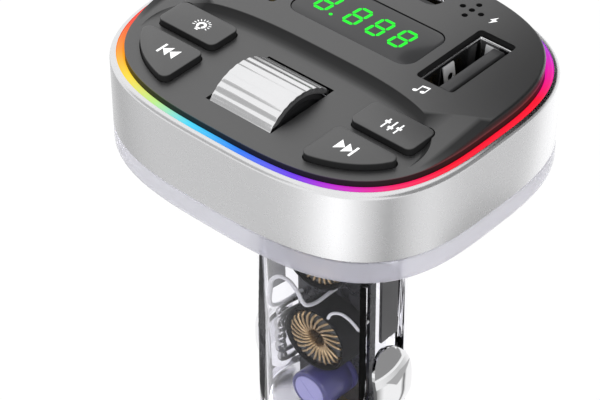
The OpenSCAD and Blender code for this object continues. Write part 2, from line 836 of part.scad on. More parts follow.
module drum_winding(drop) {
    color([0.78, 0.5, 0.3]) on_drum(drop) tube(drum_path, drum_sides, copper_wire / 2);
    echo(least_gap_of_copper = least_gap(drum_path, loop_rings / 2, copper_wire));
}

module drum_cup_upper() {
    drum_cup(upper_drum);
}

module drum_core_upper() {
    drum_core(upper_drum);
}

module drum_winding_upper() {
    drum_winding(upper_drum);
}

module drum_cup_lower() {
    drum_cup(lower_drum);
}

module drum_core_lower() {
    drum_core(lower_drum);
}

module drum_winding_lower() {
    drum_winding(lower_drum);
}

module capacitor() {
    groove = 0.25;
    color([0.36, 0.34, 0.72]) translate([capacitor_x, board_y, -capacitor_z]) rotate([90, 0, 0])
        rotate_extrude() polygon([[0, 0], [capacitor_r, 0], [capacitor_r, 3 * groove],
            [capacitor_r - groove, 4 * groove], [capacitor_r, 5 * groove],
            [capacitor_r, capacitor_l - groove], [capacitor_r - groove, capacitor_l], [0, capacitor_l]]);
}

// Chips and small parts on the back of the upright board, as shares of its width and their places down it
module stem_chips() {
    chip_t = 1.4;
    chip_foot = 2.9;
    chip_places = [[0, slot_top], [0, lower_drum], [0, slot_bottom - chip_foot]];
    chip_shares = [[0.42, 0.4], [0.3, 0.5], [0.55, 0.2]];
    color([0.06, 0.06, 0.06]) for (i = [0:2]) {
        half_w = board_w * chip_shares[i][0] / 2;
        half_h = board_w * chip_shares[i][1] / 2;
        block([chip_places[i][0] - half_w, board_back, -chip_places[i][1] - half_h],
            [chip_places[i][0] + half_w, board_back + chip_t, -chip_places[i][1] + half_h]);
    }
}

// A bend of a lead through part of a circle, starting along +X of its own plane
module bend(radius, thickness, angle) {
    rotate_extrude(angle = angle, $fn = 48) translate([radius, 0]) circle(r = thickness, $fn = 16);
}

module rod(from, to, thickness) {
    v = to - from;
    turn = [0, acos(v[2] / norm(v)), atan2(v[1], v[0])];
    translate(from) rotate(turn) cylinder(r = thickness, h = norm(v), $fn = 16);
}

// White lead from the board, up in front of the drums, over, and back to the board between them
module lead_upper() {
    lead_y = cup_front - lead_bend - hair;
    end_x = drum_x - lead_bend;
    end_z = -lower_drum + cup_r + lead_bend;
    start_x = -sqrt(pow(bore_r - lead_side, 2) - lead_y * lead_y);
    lead_arch = (end_x - start_x) / 2;
    arch_z = end_z + lead_bend;
    low_z = 3 * lead_bend + gap - lower_drum;
    color([0.93, 0.93, 0.93]) {
        rod([start_x, board_y, low_z], [start_x, lead_y + lead_bend, low_z], lead_r);
        translate([start_x, lead_y + lead_bend, low_z + lead_bend]) rotate([0, 90, 0]) rotate(-90)
            bend(lead_bend, lead_r, 90);
        rod([start_x, lead_y, low_z + lead_bend], [start_x, lead_y, arch_z], lead_r);
        translate([start_x + lead_arch, lead_y, arch_z]) rotate([90, 0, 0]) bend(lead_arch, lead_r, 180);
        translate([end_x, lead_y + lead_bend, arch_z]) rotate([0, 90, 0]) rotate(-90)
            bend(lead_bend, lead_r, 90);
        rod([end_x, lead_y + lead_bend, end_z], [end_x, board_y, end_z], lead_r);
    }
}

// White lead from the lower drum's side, over and down to the board
module lead_lower() {
    lead_y = board_y - cup_depth / 2 - gap;
    end_x = board_w / 2 - lead_r;
    arch_x = end_x - small_arch;
    arch_z = -lower_drum + cup_r - small_arch / 2;
    end_z = arch_z - small_arch;
    color([0.93, 0.93, 0.93]) {
        translate([arch_x, lead_y, arch_z]) rotate([90, 0, 0]) bend(small_arch, lead_r, 150);
        rod([end_x, lead_y, arch_z], [end_x, lead_y, end_z + lead_bend], lead_r);
        translate([end_x, lead_y + lead_bend, end_z + lead_bend]) rotate([0, 90, 0]) rotate(-90)
            bend(lead_bend, lead_r, 90);
        rod([end_x, lead_y + lead_bend, end_z], [end_x, board_y, end_z], lead_r);
    }
}

// A staple of tinned wire that stands on the board
module staple(x, front, low, high) {
    rod([x, board_y, low], [x, front + lead_bend, low], tin_r);
    rod([x, board_y, high], [x, front + lead_bend, high], tin_r);
    rod([x, front, low + lead_bend], [x, front, high - lead_bend], tin_r);
    translate([x, front + lead_bend, low + lead_bend]) rotate([0, 90, 0]) rotate(-90)
        bend(lead_bend, tin_r, 90);
    translate([x, front + lead_bend, high - lead_bend]) rotate([0, 90, 0]) rotate(180)
        bend(lead_bend, tin_r, 90);
}

module tinned_leads() {
    outer_x = -board_w / 2 + tin_r + hair;
    inner_x = outer_x + 2 * tin_r + slip;
    color([0.7, 0.7, 0.72]) {
        staple(outer_x, cup_front + lead_bend, -capacitor_z + gap, -lower_drum + 2 * lead_bend);
        staple(inner_x, cup_front - gap, -capacitor_z + capacitor_r, -lower_drum + lead_bend);
    }
}

// Flat strip in the slot above a side contact, with a tab to the board's edge
module contact_strip_right() {
    color([0.35, 0.35, 0.37]) {
        block([strip_x, -strip_w / 2, -strip_foot], [strip_x + strip_t, strip_w / 2, -strip_top]);
        block([board_w / 2 + hair, board_y, -strip_top - tab_h], [strip_x + skin, board_back, -strip_top]);
    }
}

module contact_strip_left() {
    mirror([1, 0, 0]) contact_strip_right();
}

// Side contact: a bowed strip with round ends, crowned like the socket's wall
function bow(depth) = [for (i = [0:bow_steps]) let (s = 2 * i / bow_steps - 1)
    [contact_peak - depth - contact_curve * pow(abs(s), contact_fullness),
        -contact_drop + s * (contact_l / 2 + hair)]];

module side_contact_right() {
    inner = bow(contact_t);
    color([0.85, 0.85, 0.87]) intersection() {
        rotate_extrude($fn = 180) polygon(concat(bow(0), [for (i = [bow_steps:-1:0]) inner[i]]));
        translate([stem_r / 2, 0, -contact_drop]) rotate([90, 0, 90]) linear_extrude(stem_r)
            polygon(round_rect(contact_w, contact_l, contact_w / 2 - skin));
    }
}

module side_contact_left() {
    mirror([1, 0, 0]) side_contact_right();
}

module nose_ring() {
    color([0.8, 0.8, 0.82]) rotate_extrude() polygon([[pin_r + pin_slip, nose_z],
        [nose_r - nose_floor / 4, nose_z], [nose_r, nose_z + nose_floor / 4], [stem_r, -stem_l - nose_collar],
        [stem_r, -stem_l], [neck_r, -stem_l], [neck_r, -slot_bottom], [cavity_r, -slot_bottom],
        [cavity_r, nose_z + nose_floor], [pin_r + pin_slip, nose_z + nose_floor]]);
}

module centre_pin() {
    color([0.85, 0.85, 0.87]) {
        translate([0, 0, shoulder_z]) cylinder(r = shoulder_r, h = shoulder_t);
        translate([0, 0, shoulder_z]) cylinder(r = pin_stub_r, h = seat_z - hair - pin_travel - shoulder_z);
        translate([0, 0, nose_z - pin_out + pin_r])
            cylinder(r = pin_r, h = shoulder_z - nose_z + pin_out - pin_r + skin);
        translate([0, 0, nose_z - pin_out + pin_r]) intersection() {
            sphere(r = pin_r);
            translate([0, 0, -pin_r]) cylinder(r = pin_r + cut, h = pin_r + skin);
        }
    }
}

module spring_seat() {
    color([0.8, 0.65, 0.3]) translate([0, 0, seat_z]) cylinder(r = cavity_r - hair, h = seat_t);
}

spring_low = shoulder_z + shoulder_t;
spring_steps = spring_curls * curl_rings;
spring_pitch = (seat_z - spring_low - 4 * spring_wire) / spring_curls;
spring_path = concat([[spring_r, 0, spring_low], [spring_r, 0, spring_low + spring_wire]],
    [for (i = [0:spring_steps]) let (t = 360 * i / curl_rings)
        [spring_r * cos(t), spring_r * sin(t), spring_low + 2 * spring_wire + spring_pitch * i / curl_rings]],
    [[spring_r, 0, seat_z - spring_wire], [spring_r, 0, seat_z]]);
spring_sides = concat([[1, 0, 0], [1, 0, 0]],
    [for (i = [0:spring_steps]) let (t = 360 * i / curl_rings) [cos(t), sin(t), 0]],
    [[1, 0, 0], [1, 0, 0]]);

module centre_spring() {
    color([0.7, 0.7, 0.72]) tube(spring_path, spring_sides, spring_wire / 2);
    echo(least_gap_of_spring = least_gap(spring_path, curl_rings / 2, spring_wire));
}

clear_housing();
silver_band();
light_ring();
top_plate();
display_lens();
display_module();
panel_board();
main_board();
panel_screws();
main_board_screws();
board_spacers();
board_header();
ring_leds();
microphone();
tactile_switches();
radio_module();
button_light();
button_eq();
button_prev();
button_next();
plunger_light();
plunger_eq();
plunger_prev();
plunger_next();
volume_roller();
roller_core();
roller_axle();
roller_bracket();
rotary_encoder();
usb_a_shell_left();
usb_a_shell_right();
usb_a_tongue_left();
usb_a_tongue_right();
usb_c_shell();
usb_c_tongue();
stem_board();
drum_cup_upper();
drum_core_upper();
drum_winding_upper();
drum_cup_lower();
drum_core_lower();
drum_winding_lower();
capacitor();
stem_chips();
lead_upper();
lead_lower();
tinned_leads();
contact_strip_left();
contact_strip_right();
side_contact_left();
side_contact_right();
nose_ring();
centre_pin();
centre_spring();
spring_seat();
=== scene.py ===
"""A car FM transmitter with a clear plug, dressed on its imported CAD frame."""

from __future__ import annotations

import logging
import math
from dataclasses import dataclass, field
from enum import Enum
from typing import Callable, Iterable, Sequence, Union

import bmesh
import bpy
from mathutils import Matrix, Vector


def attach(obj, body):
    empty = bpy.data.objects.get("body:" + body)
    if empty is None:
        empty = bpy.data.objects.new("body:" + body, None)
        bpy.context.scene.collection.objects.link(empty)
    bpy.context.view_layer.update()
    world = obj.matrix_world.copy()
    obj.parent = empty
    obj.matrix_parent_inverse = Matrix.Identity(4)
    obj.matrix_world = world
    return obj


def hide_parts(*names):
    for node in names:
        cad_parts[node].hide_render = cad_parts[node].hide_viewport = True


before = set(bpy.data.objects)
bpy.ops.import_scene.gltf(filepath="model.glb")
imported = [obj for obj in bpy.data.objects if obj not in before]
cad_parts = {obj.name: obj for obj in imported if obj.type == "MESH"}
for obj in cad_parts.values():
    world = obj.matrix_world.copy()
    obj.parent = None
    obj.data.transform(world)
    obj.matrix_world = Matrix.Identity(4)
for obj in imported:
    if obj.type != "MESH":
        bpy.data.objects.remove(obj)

log = logging.getLogger("transmitter")

MM = 0.001
Point = tuple[float, float, float]
Flat = tuple[float, float]
Colour = tuple[float, float, float]
Value = Union["Sock", float, int, tuple]


# Bodies and ends


class Body(str, Enum):
    """The bodies that pieces ride on."""

    ROOT = "root"
    ROLLER = "roller"
    KEY_LIGHT = "key_light"
    KEY_EQ = "key_eq"
    KEY_PREV = "key_prev"
    KEY_NEXT = "key_next"
    CONTACT_LEFT = "contact_left"
    CONTACT_RIGHT = "contact_right"
    NOSE_PIN = "nose_pin"


class Ends(Enum):
    """How a stack of rims ends."""

    OPEN = "open"
    CAPPED = "capped"
    JOINED = "joined"


class Cut(str, Enum):
    """What a cutter does to a form."""

    AWAY = "DIFFERENCE"
    KEEP = "INTERSECT"


class Side(Enum):
    """The left and right halves of the head."""

    LEFT = -1
    RIGHT = 1


# Shader sockets


class Sock:
    """A shader socket whose arithmetic adds Math nodes."""

    def __init__(self, graph: "Graph", socket: bpy.types.NodeSocket) -> None:
        """Wraps a socket.

        Args:
            graph: The graph that the socket belongs to.
            socket: The output socket.
        """
        self.graph = graph
        self.socket = socket

    def _math(self, operation: str, first: Value, second: Value) -> "Sock":
        """Adds one Math node.

        Args:
            operation: The node's operation.
            first: Its first value or link.
            second: Its second value or link.

        Returns:
            The node's result.
        """
        return self.graph.node("ShaderNodeMath", {"operation": operation}, {0: first, 1: second})

    def __add__(self, other: Value) -> "Sock":
        """Sum."""
        return self._math("ADD", self, other)

    __radd__ = __add__

    def __sub__(self, other: Value) -> "Sock":
        """Difference."""
        return self._math("SUBTRACT", self, other)

    def __rsub__(self, other: Value) -> "Sock":
        """Difference from a number."""
        return self._math("SUBTRACT", other, self)

    def __mul__(self, other: Value) -> "Sock":
        """Product."""
        return self._math("MULTIPLY", self, other)

    __rmul__ = __mul__

    def __gt__(self, other: Value) -> "Sock":
        """One where this is greater, else zero."""
        return self._math("GREATER_THAN", self, other)


class Graph:
    """The node graph of one material."""

    def __init__(self, name: str) -> None:
        """Starts an empty material.

        Args:
            name: The material's name.
        """
        self.material = bpy.data.materials.new(name)
        self.material.use_nodes = True
        self.tree = self.material.node_tree
        self.tree.nodes.clear()
        self._place: Sock | None = None

    def node(self, kind: str, settings: dict | None = None, inputs: dict | None = None,
             output: int | str = 0) -> Sock:
        """Adds a node, sets it and fills its sockets.

        Args:
            kind: The node's type.
            settings: Its settings, such as an operation; "stops" fills a colour ramp.
            inputs: Values or links of its input sockets, by name or index.
            output: The output socket that is returned.

        Returns:
            The chosen output.
        """
        made = self.tree.nodes.new(kind)
        for key, value in (settings or {}).items():
            if key == "stops":
                ramp = made.color_ramp
                while len(ramp.elements) < len(value):
                    ramp.elements.new(0.5)
                for element, (at, colour) in zip(ramp.elements, value):
                    element.position = at
                    element.color = (*colour, 1.0)
            else:
                setattr(made, key, value)
        for key, value in (inputs or {}).items():
            socket = made.inputs[key]
            if isinstance(value, Sock):
                self.tree.links.new(value.socket, socket)
            elif isinstance(value, tuple) and socket.type == "RGBA" and len(value) == 3:
                socket.default_value = (*value, 1.0)
            else:
                socket.default_value = value
        return Sock(self, made.outputs[output])

    def place(self) -> Sock:
        """The point on the object, in metres."""
        if self._place is None:
            self._place = self.node("ShaderNodeTexCoord", output="Object")
        return self._place

    def noise(self, size_mm: float, detail: float = 2.0, stretch: Point = (1.0, 1.0, 1.0)) -> Sock:
        """Noise of a given grain.

        Args:
            size_mm: The size of its lumps in millimetres.
            detail: Its finer octaves.
            stretch: How often it repeats along each axis.

        Returns:
            The noise, from 0 to 1.
        """
        where = self.node("ShaderNodeMapping", None, {"Vector": self.place(), "Scale": stretch})
        return self.node("ShaderNodeTexNoise", None,
                         {"Vector": where, "Scale": 1000.0 / size_mm, "Detail": detail, "Roughness": 0.55})

    def axis(self, index: int) -> Sock:
        """One coordinate of the point on the object, in metres."""
        return self.node("ShaderNodeSeparateXYZ", None, {0: self.place()}, output=index)

    def turn(self) -> Sock:
        """The angle round the plug's axis, in turns from -0.5 to 0.5."""
        angle = self.node("ShaderNodeMath", {"operation": "ARCTAN2"}, {0: self.axis(1), 1: self.axis(0)})
        return angle * (0.5 / math.pi)

    def share(self, at: Sock, low_mm: float, high_mm: float) -> Sock:
        """A share that rises from 0 to 1 between two distances in millimetres."""
        return self.node("ShaderNodeMapRange", None,
                         {"Value": at, "From Min": low_mm * MM, "From Max": high_mm * MM})

    def ramp(self, share: Sock, stops: Sequence[tuple[float, Colour]]) -> Sock:
        """Colours that follow a share, each stop a share and its colour."""
        return self.node("ShaderNodeValToRGB", {"stops": stops}, {0: share})

    def levels(self, at: Sock, levels: Sequence[Flat]) -> Sock:
        """A value that follows a distance, each level a distance in millimetres and its value."""
        low, high = levels[0][0], levels[-1][0]
        stops = [((place - low) / (high - low), (level,) * 3) for place, level in levels]
        return self.ramp(self.share(at, low, high), stops)

    def mix(self, share: Value, first: Value, second: Value) -> Sock:
        """Mixes two colours by a share."""
        return self.node("ShaderNodeMix", {"data_type": "RGBA"}, {0: share, 6: first, 7: second}, output=2)

    def bump(self, height: Sock, depth_mm: float, strength: float = 1.0) -> Sock:
        """Turns a height into a normal."""
        return self.node("ShaderNodeBump", None,
                         {"Strength": strength, "Distance": depth_mm * MM, "Height": height})

    def finish(self, shader: Sock) -> bpy.types.Material:
        """Links the last shader to the output and returns the material."""
        out = self.tree.nodes.new("ShaderNodeOutputMaterial")
        self.tree.links.new(shader.socket, out.inputs["Surface"])
        return self.material


# Finishes


@dataclass(frozen=True)
class Finish:
    """A plain surface with grain, mottling and a varying gloss.

    Attributes:
        name: The material's name.
        slot: The record's material slot; it is not used.
        colour: The linear colour.
        roughness: The mean roughness.
        metallic: One on bare metal.
        grain_mm: The size of the surface's grain.
        depth_mm: The height of that grain.
        mottle: The share by which the colour varies.
        coat: The weight of a clear coat.
        spread: How far the roughness varies.
        stretch: How the grain is drawn out along each axis.
        shine: The level of its mirror-like part.
    """

    name: str
    slot: str
    colour: Colour
    roughness: float
    metallic: float = 0.0
    grain_mm: float = 0.35
    depth_mm: float = 0.004
    mottle: float = 0.06
    coat: float = 0.0
    spread: float = 0.06
    stretch: Point = (1.0, 1.0, 1.0)
    shine: float = 0.5

    def base(self, graph: Graph, lumps: Sock) -> Value:
        """The surface's colour, a little lighter and darker in patches."""
        low = tuple(c * (1 - self.mottle) for c in self.colour)
        high = tuple(min(1.0, c * (1 + self.mottle)) for c in self.colour)
        return graph.mix(lumps, low, high)

    def extra(self, graph: Graph) -> dict:
        """Further values of the shader's sockets."""
        return {}

    def material(self) -> bpy.types.Material:
        """The finish as a material, made once."""
        known = bpy.data.materials.get(self.name)
        if known:
            return known
        graph = Graph(self.name)
        lumps = graph.noise(self.grain_mm * 9.0, 3.0)
        fine = graph.noise(self.grain_mm, 2.0, self.stretch)
        values = {
            "Base Color": self.base(graph, lumps),
            "Metallic": self.metallic,
            "Roughness": lumps * (2 * self.spread) + (self.roughness - self.spread),
            "Coat Weight": self.coat,
            "Coat Roughness": 0.08,
            "Specular IOR Level": self.shine,
            "Normal": graph.bump(fine, self.depth_mm),
        }
        values.update(self.extra(graph))
        return graph.finish(self.shader(graph, values))

    def shader(self, graph: Graph, values: dict) -> Sock:
        """The shader with these values."""
        return graph.node("ShaderNodeBsdfPrincipled", None, values)


@dataclass(frozen=True)
class ClearPlastic(Finish):
    """Clear moulded plastic with a faint lavender tint; on the flange a pale milky colour is mixed in as a
    painted reflection.

    Attributes:
        painted_reflection: How much of the pale colour, a painted reflection, is mixed in on the flange.
        painted_reflection_colour: The pale colour of that painted reflection.
        veil: How solid the flange is.
        index: The plastic's refractive index.
        fade: The heights in millimetres between which the painted reflection sets in.
    """

    painted_reflection: float = 0.7
    painted_reflection_colour: Colour = (0.78, 0.77, 0.85)
    veil: float = 0.6
    index: float = 1.3
    fade: Flat = (-1.0, 0.0)

    def extra(self, graph: Graph) -> dict:
        """Lets light through."""
        return {"Transmission Weight": 1.0, "IOR": self.index}

    def shader(self, graph: Graph, values: dict) -> Sock:
        """Clear in the tube, with the painted reflection's pale colour mixed in above it."""
        share = graph.share(graph.axis(2), *self.fade)
        solid = 1.0 - share * (1.0 - self.veil)
        clear = super().shader(graph, values | {"Alpha": solid})
        # A pale matt shader on the flange that stands in for its white reflection: painted reflection.
        painted_reflection_shader = graph.node("ShaderNodeBsdfPrincipled", None, {
            "Base Color": self.painted_reflection_colour, "Roughness": 0.12, "Alpha": solid})
        return graph.node("ShaderNodeMixShader", None, {0: share * self.painted_reflection, 1: clear, 2: painted_reflection_shader})


@dataclass(frozen=True)
class Glow(Finish):
    """A surface that glows in its own colour.

    Attributes:
        strength: How strongly it glows.
    """

    strength: float = 1.0

    def extra(self, graph: Graph) -> dict:
        """Adds the glow."""
        return {"Emission Color": self.colour, "Emission Strength": self.strength}


RED = (1.0, 0.004, 0.03)


@dataclass(frozen=True)
class RainbowGlow(Glow):
    """A light guide whose glow runs through the rainbow round the head.

    Attributes:
        hues: Turns round the head from the right, each with its colour.
        unlit: The guide's own colour.
    """

    hues: tuple[tuple[float, Colour], ...] = (
        (0.0, RED), (0.06, RED), (0.1, (0.85, 0.01, 0.42)), (0.15, (0.16, 0.04, 0.9)),
        (0.25, (0.03, 0.08, 1.0)),
        (0.34, (0.02, 0.45, 0.9)), (0.43, (0.75, 0.05, 0.4)), (0.52, RED), (0.57, (1.0, 0.05, 0.01)),
        (0.605, (1.0, 0.3, 0.01)), (0.64, (1.0, 0.72, 0.03)), (0.68, (0.5, 0.85, 0.25)),
        (0.72, (0.06, 0.7, 0.95)), (0.78, (0.02, 0.2, 0.95)), (0.835, (0.16, 0.03, 0.85)),
        (0.87, (0.6, 0.01, 0.6)), (0.905, (0.95, 0.01, 0.14)), (0.95, RED))
    unlit: Colour = (0.02, 0.02, 0.02)

    def extra(self, graph: Graph) -> dict:
        """Adds the glow, its hue set by the turn round the plug's axis."""
        share = graph.node("ShaderNodeMath", {"operation": "FRACT"}, {0: graph.turn() + 1.0})
        return {"Base Color": self.unlit, "Emission Color": graph.ramp(share, self.hues),
                "Emission Strength": self.strength}


@dataclass(frozen=True)
class CircuitBoard(Finish):
    """Dark solder mask with tracks and pads under it.

    Attributes:
        cells: How many cells the tracks enclose on a metre.
        track: The width of a track as a share of a cell.
        lighter: How much lighter a track is than the mask.
    """

    cells: float = 620.0
    track: float = 0.09
    lighter: float = 2.2

    def base(self, graph: Graph, lumps: Sock) -> Value:
        """Tracks as thin lines between cells, a little lighter than the mask."""
        edge = graph.node("ShaderNodeTexVoronoi", {"feature": "DISTANCE_TO_EDGE", "distance": "CHEBYCHEV"},
                          {"Vector": graph.place(), "Scale": self.cells}, output="Distance")
        tracks = 1.0 - (edge > self.track)
        light = tuple(min(1.0, c * self.lighter) for c in self.colour)
        return graph.mix(tracks * 0.7, self.colour, light)


@dataclass(frozen=True)
class PlateFinish(Finish):
    """Black plastic with satin flats and matt slopes.

    Attributes:
        flats: Heights in millimetres between which the finish changes, with how satin it is there.
        gloss: The refractive index of the satin flats.
        ends: Distances in millimetres from the middle, with how satin the slopes are there.
    """

    flats: tuple[Flat, ...] = ((15.3, 0.0), (15.42, 1.0), (15.5, 1.0), (15.6, 0.6), (15.75, 0.25),
                               (16.0, 0.04), (16.62, 0.0), (16.69, 1.0))
    gloss: float = 1.9
    ends: tuple[Flat, ...] = ((18.5, 0.0), (21.0, 1.0), (23.4, 1.0), (24.2, 0.0))

    def extra(self, graph: Graph) -> dict:
        """Puts the satin on the flats and on the soft ends of the slopes."""
        height = graph.axis(2)
        satin = graph.levels(height, self.flats)
        if self.ends:
            along = graph.node("ShaderNodeMath", {"operation": "ABSOLUTE"}, {0: graph.axis(0)})
            soft = graph.levels(along, self.ends) * (height > self.flats[1][0] * MM)
            satin = graph.node("ShaderNodeMath", {"operation": "MAXIMUM"}, {0: satin, 1: soft})
        return {"Coat Weight": satin, "Coat Roughness": self.roughness, "Coat IOR": self.gloss}


@dataclass(frozen=True)
class MouthShadedMetal(Finish):
    """Plated metal, bright on a port's rim, its colour darkened inside the mouth as painted shade.

    Attributes:
        rim: The height in millimetres at which the bright rim starts and the painted shade ends.
        painted_shade: The share of the colour kept below the rim, darkened there as painted shade.
    """

    rim: float = 15.6
    painted_shade: float = 0.12

    def base(self, graph: Graph, lumps: Sock) -> Value:
        """Darker below the rim: painted shade inside the port's mouth."""
        # The metal's colour scaled down inside the mouth, standing in for shade: painted shade.
        inside = tuple(c * self.painted_shade for c in self.colour)
        return graph.mix(graph.axis(2) > self.rim * MM, inside, self.colour)


@dataclass(frozen=True)
class FlutedMetal(Finish):
    """Bright metal, brushed along one axis.

    Attributes:
        scratch_mm: The width of its fine scratches.
        scratch_depth_mm: Their depth.
    """

    scratch_mm: float = 0.22
    scratch_depth_mm: float = 0.012

    def extra(self, graph: Graph) -> dict:
        """Adds long fine scratches to the normal."""
        scratch = graph.noise(self.scratch_mm, 1.0, self.stretch)
        return {"Normal": graph.bump(scratch, self.scratch_depth_mm)}


@dataclass(frozen=True)
class Enamel(Finish):
    """Copper wire under clear enamel, mottled with brown.

    Attributes:
        brown: The darker colour.
    """

    brown: Colour = (0.24, 0.16, 0.08)

    def base(self, graph: Graph, lumps: Sock) -> Value:
        """Mottles from copper to brown."""
        return graph.mix(lumps, self.brown, self.colour)


CLEAR = ClearPlastic("clear_moulded_plastic", "clear_plastic", (0.95, 0.945, 0.985), 0.03, spread=0.015,
                     depth_mm=0.0015, grain_mm=2.0, mottle=0.01)
SILVER = Finish("satin_silver_metal", "satin_silver", (0.80, 0.80, 0.81), 0.27, 1.0, 0.12, 0.0005, 0.02,
                spread=0.03)
RING = RainbowGlow("rainbow_light_guide", "glow_plastic", (0.9, 0.2, 0.5), 0.3, strength=1.0, shine=0.2)
DARK = PlateFinish("dark_moulded_plastic", "dark_plastic", (0.018, 0.018, 0.0183), 0.38, grain_mm=0.16,
                   depth_mm=0.006, mottle=0.05, shine=0.1)
KEY = PlateFinish("key_plastic", "dark_plastic", (0.02, 0.02, 0.0203), 0.38, grain_mm=0.16, depth_mm=0.005,
                  mottle=0.05, shine=0.1, ends=(),
                  flats=((16.2, 0.0), (16.3, 0.1), (16.38, 1.0), (16.5, 1.0)))
PRINT = Glow("white_print", "led_white", (0.86, 0.86, 0.86), 0.5, mottle=0.02, strength=0.25)
LENS = Finish("smoked_window", "smoked_lens", (0.035, 0.035, 0.036), 0.16, grain_mm=1.5, depth_mm=0.001,
              coat=0.2, spread=0.03, shine=0.3)
DIGIT = Glow("green_digit", "smoked_lens", (0.012, 0.62, 0.022), 0.4, mottle=0.05, strength=0.6, shine=0.1)
BLACK = Finish("black_moulding", "black_plastic", (0.022, 0.022, 0.023), 0.38, grain_mm=0.2)
TONGUE = Finish("grey_port_tongue", "black_plastic", (0.03, 0.03, 0.031), 0.35, grain_mm=0.2)
BOARD = CircuitBoard("head_board", "circuit_board", (0.018, 0.03, 0.025), 0.3, grain_mm=0.3, depth_mm=0.004)
DARK_BOARD = CircuitBoard("plug_board", "circuit_board", (0.02, 0.02, 0.023), 0.28, grain_mm=0.3,
                          depth_mm=0.004)
STEEL = Finish("plain_steel", "screw_steel", (0.55, 0.55, 0.56), 0.28, 1.0, 0.2, 0.003)
CHROME = Finish("polished_chrome", "chrome", (0.86, 0.86, 0.87), 0.06, 1.0, 1.2, 0.0015, 0.01, spread=0.025)
# The shells' colour is darkened below the rim as painted shade in the ports' mouths.
SHELL = MouthShadedMetal("port_shell_metal", "chrome", (0.85, 0.85, 0.86), 0.2, 1.0, 0.3, 0.003, 0.04)
PORT_SPRING = Finish("port_spring_metal", "chrome", (0.75, 0.75, 0.76), 0.3, 0.2, 0.3, 0.003, 0.04)
STRIP = Finish("spring_strip_metal", "screw_steel", (0.15, 0.15, 0.155), 0.3, 1.0, 0.3, 0.003)
TURNED = FlutedMetal("turned_sleeve_metal", "turned_silver", (0.85, 0.85, 0.86), 0.2, 1.0, 0.3, 0.003, 0.03,
                     spread=0.05, stretch=(0.04, 1.0, 1.0))
NOSE = FlutedMetal("turned_nose_metal", "turned_silver", (0.78, 0.78, 0.8), 0.2, 1.0, 0.3, 0.003, 0.03,
                   spread=0.05, stretch=(0.2, 0.2, 3.0))
BRASS = Finish("plain_brass", "brass", (0.62, 0.42, 0.14), 0.28, 1.0, 0.3, 0.003)
GOLD = Finish("gold_contacts", "brass", (0.8, 0.6, 0.24), 0.2, 1.0, 0.3, 0.002)
LED = Finish("white_light_chip", "led_white", (0.85, 0.85, 0.72), 0.35, grain_mm=0.4)
FERRITE = Finish("dark_ferrite", "ferrite", (0.009, 0.009, 0.0094), 0.6, grain_mm=0.25, depth_mm=0.01,
                 mottle=0.25, shine=0.12)
CORE = Finish("core_ferrite", "ferrite", (0.06, 0.064, 0.06), 0.5, grain_mm=0.2, depth_mm=0.012, mottle=0.25)
COPPER = Enamel("enamelled_copper", "copper", (0.56, 0.41, 0.22), 0.26, 0.8, 0.4, 0.002, coat=0.3)
SLEEVE = Finish("violet_shrink_sleeve", "violet_sleeve", (0.055, 0.052, 0.21), 0.3, grain_mm=0.8,
                depth_mm=0.01, coat=0.3)
CAN_END = Finish("violet_can_end", "violet_sleeve", (0.42, 0.41, 0.74), 0.3, 0.0, 0.5, 0.004)
WHITE = Finish("white_insulation", "white_lead", (0.85, 0.85, 0.86), 0.4, grain_mm=0.3, depth_mm=0.004)
TIN = Finish("tinned_wire", "screw_steel", (0.5, 0.5, 0.5), 0.3, 0.9, 0.35, 0.03, 0.2, spread=0.12)


# Shaping


def linked(name: str, data: bpy.types.ID) -> bpy.types.Object:
    """A new object in the scene."""
    thing = bpy.data.objects.new(name, data)
    bpy.context.scene.collection.objects.link(thing)
    return thing


